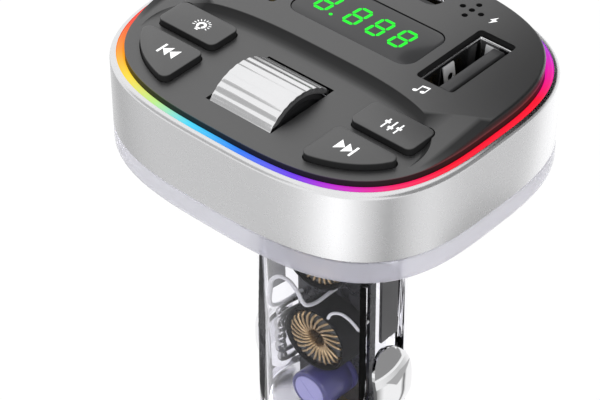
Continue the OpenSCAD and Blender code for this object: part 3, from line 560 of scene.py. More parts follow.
class Form:
    """A mesh in millimetres, shaped with operators and kept as a piece at the end."""

    def __init__(self) -> None:
        """Starts empty."""
        self.bm = bmesh.new()

    def rim(self, points: Sequence[Point]) -> list[bmesh.types.BMVert]:
        """A closed loop through points, begun as a circle.

        Args:
            points: Where the loop runs.

        Returns:
            Its vertices in order.
        """
        made = bmesh.ops.create_circle(self.bm, cap_ends=False, segments=len(points), radius=1.0)
        for vert, point in zip(made["verts"], points):
            vert.co = point
        return made["verts"]

    @staticmethod
    def edges_of(rim: Sequence[bmesh.types.BMVert]) -> list[bmesh.types.BMEdge]:
        """The edges between a loop's neighbouring vertices."""
        turned = list(rim[1:]) + [rim[0]]
        return [next(e for e in a.link_edges if e.other_vert(a) is b) for a, b in zip(rim, turned)]

    def wall(self, rim: Sequence[bmesh.types.BMVert], points: Sequence[Point]) -> list[bmesh.types.BMVert]:
        """Extrudes a loop to new points.

        Args:
            rim: The loop.
            points: Where its vertices go.

        Returns:
            The new loop's vertices.
        """
        made = bmesh.ops.extrude_edge_only(self.bm, edges=self.edges_of(rim))
        fresh = {g for g in made["geom"] if isinstance(g, bmesh.types.BMVert)}
        ahead = [next(o for e in v.link_edges if (o := e.other_vert(v)) in fresh) for v in rim]
        for vert, point in zip(ahead, points):
            vert.co = point
        return ahead

    def stack(self, levels: Sequence[Sequence[Point]], ends: Ends) -> "Form":
        """Walls through a series of loops.

        Args:
            levels: The loops, each with as many points.
            ends: Whether the ends are open, capped or joined to each other.

        Returns:
            This form.
        """
        first = rim = self.rim(levels[0])
        for points in levels[1:]:
            rim = self.wall(rim, points)
        if ends is Ends.JOINED:
            rim = self.wall(rim, levels[0])
            bmesh.ops.remove_doubles(self.bm, verts=list(first) + list(rim), dist=1e-5)
        elif ends is Ends.CAPPED:
            for loop in (first, rim):
                bmesh.ops.contextual_create(self.bm, geom=self.edges_of(loop))
        return self

    def spun(self, profile: Sequence[Flat], steps: int = 64, close: bool = False) -> "Form":
        """Spins a profile about Z.

        Args:
            profile: Radius and height of each point.
            steps: Steps round the axis.
            close: Whether the last point joins the first.

        Returns:
            This form.
        """
        verts = [self.bm.verts.new((r, 0.0, z)) for r, z in profile]
        pairs = list(zip(verts, verts[1:])) + ([(verts[-1], verts[0])] if close else [])
        edges = [self.bm.edges.new(pair) for pair in pairs]
        bmesh.ops.spin(self.bm, geom=verts + edges, cent=(0, 0, 0), axis=(0, 0, 1), angle=2 * math.pi,
                       steps=steps, use_merge=True, use_duplicate=False)
        bmesh.ops.remove_doubles(self.bm, verts=self.bm.verts[:], dist=1e-4)
        return self

    def prism(self, points: Sequence[Flat], low: float, high: float, edge: float = 0.0,
              steps: int = 4) -> "Form":
        """Extrudes a flat outline.

        Args:
            points: The outline.
            low: The height of its lower face.
            high: The height of its upper face.
            edge: The radius of its upper edge.
            steps: Steps in that rounding.

        Returns:
            This form.
        """
        verts = [self.bm.verts.new((x, y, low)) for x, y in points]
        face = self.bm.faces.new(verts)
        made = bmesh.ops.extrude_face_region(self.bm, geom=[face])
        top = [g for g in made["geom"] if isinstance(g, bmesh.types.BMVert)]
        lid = [g for g in made["geom"] if isinstance(g, bmesh.types.BMFace)][0]
        bmesh.ops.translate(self.bm, verts=top, vec=(0, 0, high - low))
        if edge > 0:
            bmesh.ops.bevel(self.bm, geom=list(lid.edges), offset=edge, segments=steps, profile=0.5,
                            affect="EDGES", material=-1, clamp_overlap=True)
        return self

    def bar(self, low: Point, high: Point) -> "Form":
        """A box between two corners."""
        made = bmesh.ops.create_cube(self.bm, size=1.0)
        bmesh.ops.scale(self.bm, verts=made["verts"], vec=[h - l for l, h in zip(low, high)])
        bmesh.ops.translate(self.bm, verts=made["verts"], vec=[(l + h) / 2 for l, h in zip(low, high)])
        return self

    def rod(self, start: Point, end: Point, radius: float, steps: int = 32) -> "Form":
        """A round bar between two points."""
        along = Vector(end) - Vector(start)
        turn = along.to_track_quat("Z", "Y").to_matrix().to_4x4()
        middle = (Vector(start) + Vector(end)) / 2
        bmesh.ops.create_cone(self.bm, cap_ends=True, segments=steps, radius1=radius, radius2=radius,
                              depth=along.length, matrix=Matrix.Translation(middle) @ turn)
        return self

    def wire(self, path: Sequence[Point], radius: float, sides: int = 3, smooth: bool = True) -> "Form":
        """A round wire along a path.

        Args:
            path: The points on its middle line.
            radius: Its radius.
            sides: The resolution of its section.
            smooth: Whether a curve is drawn through the points.

        Returns:
            This form.
        """
        curve = bpy.data.curves.new("path", "CURVE")
        curve.dimensions = "3D"
        curve.bevel_depth = radius
        curve.bevel_resolution = sides
        curve.use_fill_caps = True
        curve.resolution_u = 6
        spline = curve.splines.new("BEZIER" if smooth else "POLY")
        if smooth:
            spline.bezier_points.add(len(path) - 1)
            for knot, point in zip(spline.bezier_points, path):
                knot.co = point
                knot.handle_left_type = knot.handle_right_type = "AUTO"
        else:
            spline.points.add(len(path) - 1)
            for knot, point in zip(spline.points, path):
                knot.co = (*point, 1.0)
        holder = bpy.data.objects.new("path", curve)
        mesh = bpy.data.meshes.new_from_object(holder)
        known = set(self.bm.verts)
        self.bm.from_mesh(mesh)
        bmesh.ops.remove_doubles(self.bm, verts=[v for v in self.bm.verts if v not in known], dist=1e-4)
        bpy.data.objects.remove(holder)
        bpy.data.curves.remove(curve)
        bpy.data.meshes.remove(mesh)
        return self

    def move(self, matrix: Matrix) -> "Form":
        """Moves the whole form."""
        bmesh.ops.transform(self.bm, matrix=matrix, verts=self.bm.verts[:])
        return self

    def also(self, other: "Form") -> "Form":
        """Takes another form's mesh into this one."""
        mesh = bpy.data.meshes.new("part")
        other.bm.to_mesh(mesh)
        self.bm.from_mesh(mesh)
        bpy.data.meshes.remove(mesh)
        other.bm.free()
        return self

    def on(self, side: Side) -> "Form":
        """Turns a form made for the right half into its mirror image if it is for the left."""
        if side is Side.LEFT:
            bmesh.ops.scale(self.bm, verts=self.bm.verts[:], vec=(-1, 1, 1))
            bmesh.ops.recalc_face_normals(self.bm, faces=self.bm.faces[:])
        return self

    def printed(self, shapes: Sequence[Sequence[Flat]], level: float, height: float) -> "Form":
        """Adds flat shapes that stand a little above a level."""
        for points in shapes:
            self.also(Form().prism(points, level - 0.01, level + height))
        return self

    def mesh(self, name: str) -> bpy.types.Mesh:
        """Closes the form into a mesh in metres."""
        bmesh.ops.recalc_face_normals(self.bm, faces=self.bm.faces[:])
        bmesh.ops.scale(self.bm, verts=self.bm.verts[:], vec=(MM, MM, MM))
        mesh = bpy.data.meshes.new(name)
        self.bm.to_mesh(mesh)
        self.bm.free()
        return mesh

    def carved(self, cutter: "Form", cut_type: Cut = Cut.AWAY) -> "Form":
        """Cuts this form with another one.

        Args:
            cutter: The other form.
            cut_type: Whether the other form is cut away, or what lies in it is kept.

        Returns:
            This form, carved.
        """
        whole, tool = (linked(n, f.mesh(n)) for n, f in (("whole", self), ("tool", cutter)))
        cut = whole.modifiers.new("cut", "BOOLEAN")
        cut.operation = cut_type.value
        cut.solver = "EXACT"
        cut.object = tool
        bpy.context.view_layer.update()
        result = bpy.data.meshes.new_from_object(whole.evaluated_get(bpy.context.evaluated_depsgraph_get()))
        self.bm = bmesh.new()
        self.bm.from_mesh(result)
        bmesh.ops.scale(self.bm, verts=self.bm.verts[:], vec=(1 / MM, 1 / MM, 1 / MM))
        bmesh.ops.remove_doubles(self.bm, verts=self.bm.verts[:], dist=1e-3)
        for thing in (whole, tool):
            data = thing.data
            bpy.data.objects.remove(thing)
            bpy.data.meshes.remove(data)
        bpy.data.meshes.remove(result)
        return self

    def piece(self, name: str, body: Body, finish: Finish, replaces: Sequence[str] = (), bevel: float = 0.0,
              sharp: float = 32.0) -> bpy.types.Object:
        """Keeps the form as a piece of the object.

        Args:
            name: The piece's name.
            body: The body that it rides on.
            finish: Its surface.
            replaces: The CAD nodes that it stands for.
            bevel: The width in millimetres of its rounded edges.
            sharp: The angle in degrees above which an edge stays crisp.

        Returns:
            The piece.
        """
        mesh = self.mesh(name)
        mesh.shade_smooth()
        mesh.set_sharp_from_angle(angle=math.radians(sharp))
        thing = linked(name, mesh)
        mesh.materials.append(finish.material())
        if bevel > 0:
            rounding = thing.modifiers.new("rounding", "BEVEL")
            rounding.width = bevel * MM
            rounding.segments = 3
            rounding.limit_method = "ANGLE"
            rounding.angle_limit = math.radians(sharp)
            rounding.harden_normals = True
        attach(thing, body.value)
        if replaces:
            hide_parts(*replaces)
        log.info("%s: %d faces on %s", name, len(mesh.polygons), body.value)
        return thing


def box_outline(length: float, width: float, centre: Flat = (0.0, 0.0)) -> list[Flat]:
    """The corners of a rectangle, anticlockwise."""
    x, y, (cx, cy) = length / 2, width / 2, centre
    return [(cx + x, cy + y), (cx - x, cy + y), (cx - x, cy - y), (cx + x, cy - y)]


def arc(centre: Flat, radius: float, start: float, end: float, steps: int = 6) -> list[Flat]:
    """Points on part of a circle, between two angles in degrees."""
    turns = [math.radians(start + (end - start) * i / steps) for i in range(steps + 1)]
    return [(centre[0] + radius * math.cos(t), centre[1] + radius * math.sin(t)) for t in turns]


def circle(radius: float, count: int) -> list[Flat]:
    """Points round a circle about the origin."""
    turns = (2 * math.pi * i / count for i in range(count))
    return [(radius * math.cos(t), radius * math.sin(t)) for t in turns]


def round_box(length: float, width: float, radius: float, centre: Flat = (0.0, 0.0),
              steps: int = 6) -> list[Flat]:
    """A rectangle with round corners, anticlockwise."""
    x, y = length / 2 - radius, width / 2 - radius
    points = []
    for cx, cy, turn in ((x, y, 0.0), (-x, y, 90.0), (-x, -y, 180.0), (x, -y, 270.0)):
        points += arc((centre[0] + cx, centre[1] + cy), radius, turn, turn + 90.0, steps)
    return points


def shifted(points: Iterable[Flat], x: float, y: float, scale: float = 1.0, turn: float = 0.0) -> list[Flat]:
    """Turns, scales and moves a flat outline."""
    c, s = math.cos(math.radians(turn)), math.sin(math.radians(turn))
    return [(x + scale * (px * c - py * s), y + scale * (px * s + py * c)) for px, py in points]


# Camera, floor and light


@dataclass
class Viewpoint:
    """The photograph's viewing angle.

    Attributes:
        azimuth: Degrees round the object, from the front towards the right.
        elevation: Degrees above the horizon.
        roll: The camera's roll in degrees.
        distance: Millimetres from the aim plane.
        aside: Millimetres moved along the picture's right.
        above: Millimetres moved along the picture's up.
        level: Height in millimetres of the point that the camera circles.
        lens: Focal length for a 36 mm wide picture.
    """

    azimuth: float = 42.009
    elevation: float = 39.008
    roll: float = -0.369
    distance: float = 328.12
    aside: float = -4.317
    above: float = -18.336
    level: float = 14.7
    lens: float = 154.257

    def build(self) -> bpy.types.Object:
        """Makes the camera and hands it to the scene."""
        a, e, r = (math.radians(v) for v in (self.azimuth, self.elevation, self.roll))
        back = Vector((math.sin(a) * math.cos(e), -math.cos(a) * math.cos(e), math.sin(e)))
        right = Vector((math.cos(a), math.sin(a), 0.0))
        up = back.cross(right)
        right, up = math.cos(r) * right + math.sin(r) * up, math.cos(r) * up - math.sin(r) * right
        eye = back * self.distance + right * self.aside + up * self.above + Vector((0, 0, self.level))
        data = bpy.data.cameras.new("camera")
        data.sensor_width = 36.0
        data.lens = self.lens
        data.clip_start = 0.01
        data.clip_end = 20.0
        camera = linked("camera", data)
        camera.matrix_world = Matrix.Translation(eye * MM) @ Matrix((right, up, back)).transposed().to_4x4()
        bpy.context.scene.camera = camera
        return camera


@dataclass(frozen=True)
class Card:
    """A flat card that only shiny surfaces see.

    Attributes:
        name: Its name.
        place: Its middle, in millimetres.
        size: Its width and height.
        tone: How bright it is.
        flat: Whether it lies flat instead of facing the object.
        through: Whether it is also seen through clear pieces.
    """

    name: str
    place: Point
    size: Flat
    tone: float
    flat: bool = False
    through: bool = False


@dataclass(frozen=True)
class GroundCard:
    """A ring on the floor that only shiny surfaces see, its brightness changing round the object.

    Attributes:
        name: Its name.
        inner: Its inner radius in millimetres.
        outer: Its outer radius.
        tones: Degrees round the object, from -180 to 180, each with its brightness.
    """

    name: str
    inner: float
    outer: float
    tones: tuple[Flat, ...]


@dataclass(frozen=True)
class Lamp:
    """A square soft lamp.

    Attributes:
        name: Its name.
        place: Where it stands, in metres.
        aim: What it points at, in metres.
        size: The length of its side in metres.
        power: Its power in watts.
    """

    name: str
    place: Point
    aim: Point
    size: float
    power: float


@dataclass
class Studio:
    """A pale floor, a white surround, soft lamps and reflecting cards.

    Attributes:
        floor_level: Height of the floor in millimetres.
        floor_half: Half the floor's width in metres.
        floor_colour: The floor's colour.
        floor_white: How far the floor is seen white.
        ring_lift: How far the rings lie above the floor, in millimetres.
        surround: How bright the surround is to matt surfaces.
        daylight: The surround's colour on them.
        lamps: The lamps.
        cards: The cards round the object.
        ground: The rings on the floor.
    """

    floor_level: float = -58.6
    floor_half: float = 4.0
    floor_colour: Colour = (0.86, 0.86, 0.87)
    floor_white: float = 0.9
    ring_lift: float = 0.3
    surround: float = 0.62
    daylight: Colour = (0.98, 0.99, 1.0)
    lamps: tuple[Lamp, ...] = (
        Lamp("key_lamp", (-0.45, 0.1, 0.55), (0, 0, 0), 0.35, 5.0),
        Lamp("fill_lamp", (0.5, -0.5, 0.35), (0, 0, -0.01), 0.5, 2.0))
    cards: tuple[Card, ...] = (
        Card("flag_behind", (20.0, 46.0, 40.0), (50.0, 58.0), 0.0, flat=True),
        Card("flag_right", (266.0, 87.0, 150.0), (500.0, 410.0), 0.3),
        Card("card_front_left", (-165.0, -211.0, 136.0), (230.0, 230.0), 0.5),
        Card("card_back_left", (-157.0, 251.0, 48.0), (150.0, 130.0), 0.3),
        Card("flag_ground_left", (-50.0, 4.5, -58.2), (60.0, 23.0), 0.05, flat=True, through=True),
        Card("card_ground_right", (54.0, 41.0, -58.2), (40.0, 40.0), 0.45, flat=True))
    ground: tuple[GroundCard, ...] = (
        GroundCard("ground_card_far", 62.0, 260.0, (
            (-180.0, 0.62), (-167.0, 0.52), (-141.0, 0.7), (-112.0, 0.66), (-97.0, 0.74), (-69.0, 1.42),
            (-48.0, 0.88), (-27.0, 0.42), (-4.0, 0.84), (8.0, 0.92), (38.0, 0.64), (50.0, 0.72), (62.0, 1.15),
            (80.0, 1.25), (160.0, 1.0), (172.0, 0.72))),
        GroundCard("ground_card_near", 13.0, 62.0, (
            (-180.0, 1.0), (-130.0, 1.0), (-110.0, 0.15), (0.0, 0.15), (12.0, 1.0), (40.0, 1.0),
            (45.0, 0.12), (50.0, 1.0))))

    @staticmethod
    def seen(tree: bpy.types.NodeTree) -> bpy.types.NodeSocket:
        """One for rays from the camera, mirrors and clear pieces."""
        path = tree.nodes.new("ShaderNodeLightPath")
        total = None
        for name in ("Is Camera Ray", "Is Glossy Ray", "Is Transmission Ray"):
            if total is None:
                total = path.outputs[name]
                continue
            both = tree.nodes.new("ShaderNodeMath")
            both.operation = "MAXIMUM"
            tree.links.new(total, both.inputs[0])
            tree.links.new(path.outputs[name], both.inputs[1])
            total = both.outputs[0]
        return total

    def surroundings(self) -> None:
        """A world that is white where it is seen and softer where it lights."""
        world = bpy.data.worlds.new("surround")
        bpy.context.scene.world = world
        world.use_nodes = True
        tree = world.node_tree
        tree.nodes.clear()
        light, white = (tree.nodes.new("ShaderNodeBackground") for _ in range(2))
        light.inputs["Color"].default_value = (*self.daylight, 1.0)
        light.inputs["Strength"].default_value = self.surround
        white.inputs["Color"].default_value = (1.0, 1.0, 1.0, 1.0)
        white.inputs["Strength"].default_value = 1.0
        mix = tree.nodes.new("ShaderNodeMixShader")
        out = tree.nodes.new("ShaderNodeOutputWorld")
        tree.links.new(self.seen(tree), mix.inputs[0])
        tree.links.new(light.outputs[0], mix.inputs[1])
        tree.links.new(white.outputs[0], mix.inputs[2])
        tree.links.new(mix.outputs[0], out.inputs["Surface"])

    def floor(self) -> None:
        """A pale floor that is mostly white to the camera and keeps a soft shadow."""
        form = Form()
        half = self.floor_half / MM
        bmesh.ops.create_grid(form.bm, x_segments=1, y_segments=1, size=half)
        form.move(Matrix.Translation((0, 0, self.floor_level)))
        thing = linked("studio_floor", form.mesh("studio_floor"))
        graph = Graph("pale_floor")
        matt = graph.node("ShaderNodeBsdfDiffuse", None, {"Color": self.floor_colour})
        glow = graph.node("ShaderNodeEmission", None, {"Color": (1.0, 1.0, 1.0), "Strength": 1.0})
        seen = Sock(graph, self.seen(graph.tree))
        mixed = graph.node("ShaderNodeMixShader", None, {0: seen * self.floor_white, 1: matt, 2: glow})
        thing.data.materials.append(graph.finish(mixed))

    @staticmethod
    def unseen(form: Form, name: str, tone: Callable[[Graph], Value], through: bool = False) -> None:
        """Keeps a form as a glowing card that only shiny surfaces see.

        Args:
            form: The card.
            name: Its name.
            tone: Gives its brightness as a number or a link.
            through: Whether it is also seen through clear pieces.
        """
        thing = linked(name, form.mesh(name))
        graph = Graph(name)
        glow = graph.node("ShaderNodeEmission", None, {"Color": (1.0, 1.0, 1.0), "Strength": tone(graph)})
        thing.data.materials.append(graph.finish(glow))
        thing.visible_camera = thing.visible_diffuse = thing.visible_shadow = False
        thing.visible_transmission = through

    def card(self, card: Card) -> None:
        """Sets up one card."""
        form = Form()
        bmesh.ops.create_grid(form.bm, x_segments=1, y_segments=1, size=0.5)
        bmesh.ops.scale(form.bm, verts=form.bm.verts[:], vec=(*card.size, 1.0))
        place = Vector(card.place)
        turn = Matrix.Identity(4) if card.flat else place.to_track_quat("Z", "Y").to_matrix().to_4x4()
        form.move(Matrix.Translation(place) @ turn)
        self.unseen(form, card.name, lambda graph: card.tone, card.through)

    def ground_card(self, card: GroundCard) -> None:
        """Sets up one ring on the floor."""
        def tone(graph: Graph) -> Sock:
            """Its brightness, by the turn round the object."""
            stops = [((at + 180.0) / 360.0, (level,) * 3) for at, level in card.tones]
            return graph.ramp(graph.turn() + 0.5, stops)

        level = self.floor_level + self.ring_lift
        levels = [[(x, y, level) for x, y in circle(r, 96)] for r in (card.inner, card.outer)]
        self.unseen(Form().stack(levels, Ends.OPEN), card.name, tone)

    @staticmethod
    def lamp(lamp: Lamp) -> None:
        """Sets up one lamp."""
        data = bpy.data.lights.new(lamp.name, "AREA")
        data.energy = lamp.power
        data.size = lamp.size
        thing = linked(lamp.name, data)
        thing.location = lamp.place
        thing.rotation_euler = (Vector(lamp.place) - Vector(lamp.aim)).to_track_quat("Z", "Y").to_euler()
        thing.visible_glossy = False

    def build(self) -> None:
        """Sets the floor, the surround, the cards, the lamps and the view transform."""
        self.surroundings()
        self.floor()
        for card in self.cards:
            self.card(card)
        for ring in self.ground:
            self.ground_card(ring)
        for lamp in self.lamps:
            self.lamp(lamp)
        bpy.context.scene.view_settings.view_transform = "Standard"


# The head


@dataclass
class HeadOutline:
    """The head's outline seen from above.

    Attributes:
        length: Its length along the display.
        width: Its width from front to back.
        fullness: How full its corners are.
        count: Points round a fine loop.
    """

    length: float = 54.0
    width: float = 47.2
    fullness: float = 3.1
    count: int = 192

    def loop(self, inset: float, level: float) -> list[Point]:
        """The outline drawn in by an inset, at a height."""
        a, b, k = self.length / 2 - inset, self.width / 2 - inset, 2 / self.fullness
        points = []
        for i in range(self.count):
            c, s = (f(2 * math.pi * i / self.count) for f in (math.cos, math.sin))
            points.append((a * math.copysign(abs(c) ** k, c), b * math.copysign(abs(s) ** k, s), level))
        return points

    def hoop(self, radius: float, level: float) -> list[Point]:
        """A circle with as many points, at a height."""
        return [(x, y, level) for x, y in circle(radius, self.count)]

    def reach(self, share: float) -> float:
        """How far one half axis reaches, as a share, at a share of the other."""
        return (1 - abs(share) ** self.fullness) ** (1 / self.fullness)

    def rim_x(self, y: float, inset: float) -> float:
        """The rim's distance from the centre line at a place across the head."""
        return (self.length / 2 - inset) * self.reach(y / (self.width / 2 - inset))

    def rim_y(self, x: float, inset: float) -> float:
        """The front rim's place at a distance along the head."""
        return -(self.width / 2 - inset) * self.reach(x / (self.length / 2 - inset))


def rounded_edge(loop: Callable[[float, float], list[Point]], inset: float, level: float, radius: float,
                 start: float, end: float, steps: int = 5) -> list[list[Point]]:
    """Loops round a quarter-round edge.

    Args:
        loop: Gives the outline for an inset and a height.
        inset: The inset of the rounding's centre.
        level: The height of the rounding's centre.
        radius: Its radius.
        start: The angle in degrees at which it starts, 0 pointing outwards and 90 up.
        end: The angle at which it ends.
        steps: Steps between the two.

    Returns:
        The loops in order.
    """
    turns = [math.radians(start + (end - start) * i / steps) for i in range(steps + 1)]
    return [loop(inset - radius * math.cos(t), level + radius * math.sin(t)) for t in turns]


@dataclass
class Housing:
    """The clear flange and plug tube, moulded in one.

    Attributes:
        outline: The head's outline.
        flange: Height of the flange.
        edge: Radius of its lower edge.
        wall: Thickness of its wall.
        floor: Thickness of its floor.
        tongue: Inset of the wall that stands inside the band.
        tongue_top: Height of that wall's top.
        tube: Outer radius of the plug.
        bore: Its inner radius.
        length: Its length.
        slot: Width of the side slots.
        slot_top: Distance of their upper end below the flange.
        slot_bottom: Distance of their lower end.
        bosses: Places of the board's bosses on the right half.
        boss_r: Their radius.
        boss_top: Height of their tops.
        soft: Radius of the wall's small edges.
        fillet: Radius of the fillet at the foot of the wall.
    """

    outline: HeadOutline
    flange: float = 4.07
    edge: float = 1.7
    wall: float = 2.6
    floor: float = 1.6
    tongue: float = 1.3
    tongue_top: float = 11.88
    tube: float = 10.3
    bore: float = 8.9
    length: float = 45.98
    slot: float = 7.9
    slot_top: float = 16.0
    slot_bottom: float = 43.4
    bosses: tuple[Flat, ...] = ((20.8, 5.35), (12.25, -13.9))
    boss_r: float = 1.9
    boss_top: float = 2.99
    soft: float = 0.3
    fillet: float = 0.8

    def levels(self) -> list[list[Point]]:
        """The moulding's section, from the plug's foot round and back."""
        loop, hoop = self.outline.loop, self.outline.hoop
        levels = [hoop(self.tube - 0.2, -self.length), hoop(self.tube, -self.length + 0.2),
                  hoop(self.tube, -0.5), hoop(self.tube + 0.14, -0.16), hoop(self.tube + 0.5, 0.0)]
        levels += rounded_edge(loop, self.edge, self.edge, self.edge, -90.0, 0.0, 8)
        levels += rounded_edge(loop, 0.2, self.flange - 0.2, 0.2, 0.0, 90.0, 3)
        levels += [loop(self.tongue, self.flange)]
        top, soft = self.tongue_top - self.soft, self.soft
        levels += rounded_edge(loop, self.tongue + soft, top, soft, 0.0, 90.0, 3)
        levels += rounded_edge(loop, self.wall - soft, top, soft, 90.0, 180.0, 3)
        levels += [loop(self.wall, self.floor + self.fillet), loop(self.wall + 0.24, self.floor + 0.24),
                   loop(self.wall + self.fillet, self.floor), hoop(self.bore + soft, self.floor),
                   hoop(self.bore, self.floor - soft), hoop(self.bore, -self.length)]
        return levels

    def build(self) -> None:
        """Makes the moulding, cuts its slots and adds its bosses."""
        form = Form().stack(self.levels(), Ends.JOINED)
        slots = Form()
        for side in Side:
            middle = -(self.slot_top + self.slot_bottom) / 2
            cut = Form().prism(round_box(self.slot_bottom - self.slot_top, self.slot, 0.5), 5.0, 12.0)
            turn = Matrix.Rotation(math.radians(90 * side.value), 4, "Y")
            slots.also(cut.move(Matrix.Translation((0, 0, middle)) @ turn))
        form.carved(slots)
        for x, y in self.bosses:
            for side in Side:
                foot, head = (side.value * x, y, self.floor + 0.01), (side.value * x, y, self.boss_top)
                form.rod(foot, head, self.boss_r)
        form.piece("clear_moulding", Body.ROOT, CLEAR, ["clear_housing"], bevel=0.12, sharp=40.0)


@dataclass
class BandAndRing:
    """The silver band with the light ring inside its upper edge.

    Attributes:
        outline: The head's outline.
        low: Height of the band's lower edge.
        high: Height of its upper edge.
        wall: Its wall.
        bevel: Width of its upper bevel.
        ring_in: Inset of the ring's outside.
        ring_wide: Its width.
        ring_top: Height of its top.
        foot: Height of its foot's underside.
        foot_in: Inset of its foot's inside.
        foot_top: Height of its foot's top.
        ring_edge: Radius of its upper edges.
        low_edge: Radius of the band's lower edge.
    """

    outline: HeadOutline
    low: float = 4.1
    high: float = 14.6
    wall: float = 1.25
    bevel: float = 0.65
    ring_in: float = 0.8
    ring_wide: float = 0.9
    ring_top: float = 14.7
    foot: float = 12.0
    foot_in: float = 2.65
    foot_top: float = 13.0
    ring_edge: float = 0.3
    low_edge: float = 0.25

    def build(self) -> None:
        """Makes the band and the ring."""
        loop, edge = self.outline.loop, self.low_edge
        band = [loop(self.wall, self.low + 0.15), loop(self.wall - 0.15, self.low), loop(edge, self.low)]
        band += rounded_edge(loop, edge, self.low + edge, edge, -60.0, 0.0, 3)
        band += rounded_edge(loop, self.bevel, self.high - self.bevel, self.bevel, 0.0, 90.0, 6)
        band += [loop(self.ring_in - 0.05, self.high), loop(self.ring_in - 0.05, self.foot - 0.01),
                 loop(self.wall, self.foot - 0.01)]
        Form().stack(band, Ends.JOINED).piece("silver_rim", Body.ROOT, SILVER, ["silver_band"], sharp=50.0)
        ring = [loop(self.foot_in, self.foot), loop(self.ring_in, self.foot)]
        edge, inside = self.ring_edge, self.ring_in + self.ring_wide
        ring += rounded_edge(loop, self.ring_in + edge, self.ring_top - edge, edge, 0.0, 90.0, 4)
        ring += rounded_edge(loop, inside - edge, self.ring_top - edge, edge, 90.0, 180.0, 4)
        ring += [loop(inside, self.foot_top), loop(self.foot_in, self.foot_top)]
        Form().stack(ring, Ends.JOINED).piece("glow_ring", Body.ROOT, RING, ["light_ring"], sharp=50.0)


@dataclass
class KeyShape:
    """The outlines of the four keys.

    Attributes:
        outline: The head's outline.
        length: Length of a rear key.
        width: Its width.
        x: Its middle along the head.
        y: Its middle in front of the centre.
        front_x: Inner edge of a front key.
        front_y: Its rear edge.
        rim: How far it stays from the head's edge.
        corner: Its corners' radius.
    """

    outline: HeadOutline
    length: float = 9.8
    width: float = 5.2
    x: float = 16.4
    y: float = 7.8
    front_x: float = 11.3
    front_y: float = 12.0
    rim: float = 3.45
    corner: float = 1.0

    def rear(self, grow: float) -> list[Flat]:
        """A rear key's outline, widened by a margin."""
        length, width = self.length + 2 * grow, self.width + 2 * grow
        return round_box(length, width, self.corner + grow / 2, (self.x, -self.y))

    def front(self, grow: float) -> list[Flat]:
        """A front key's outline, which follows the head's rim, widened by a margin."""
        inset, r = self.rim - grow, self.corner + grow / 2
        left, top = self.front_x - grow, -self.front_y + grow
        right, low = self.outline.rim_x(top - r, inset + r), self.outline.rim_y(left + r, inset + r)
        points = arc((left + r, top - r), r, 90.0, 180.0) + arc((left + r, low), r, 180.0, 280.0)
        steps = 14
        power, a, b = self.outline.fullness, self.outline.length / 2, self.outline.width / 2
        for i in range(1, steps):
            x = left + r + (right - left - r) * i / steps
            y = self.outline.rim_y(x, inset + r)
            along, across = (x / (a - inset)) ** (power - 1) / a, (-y / (b - inset)) ** (power - 1) / b
            away = Vector((along, -across)).normalized()
            points.append((x + r * away.x, y + r * away.y))
        return points + arc((right, top - r), r, -20.0, 90.0)


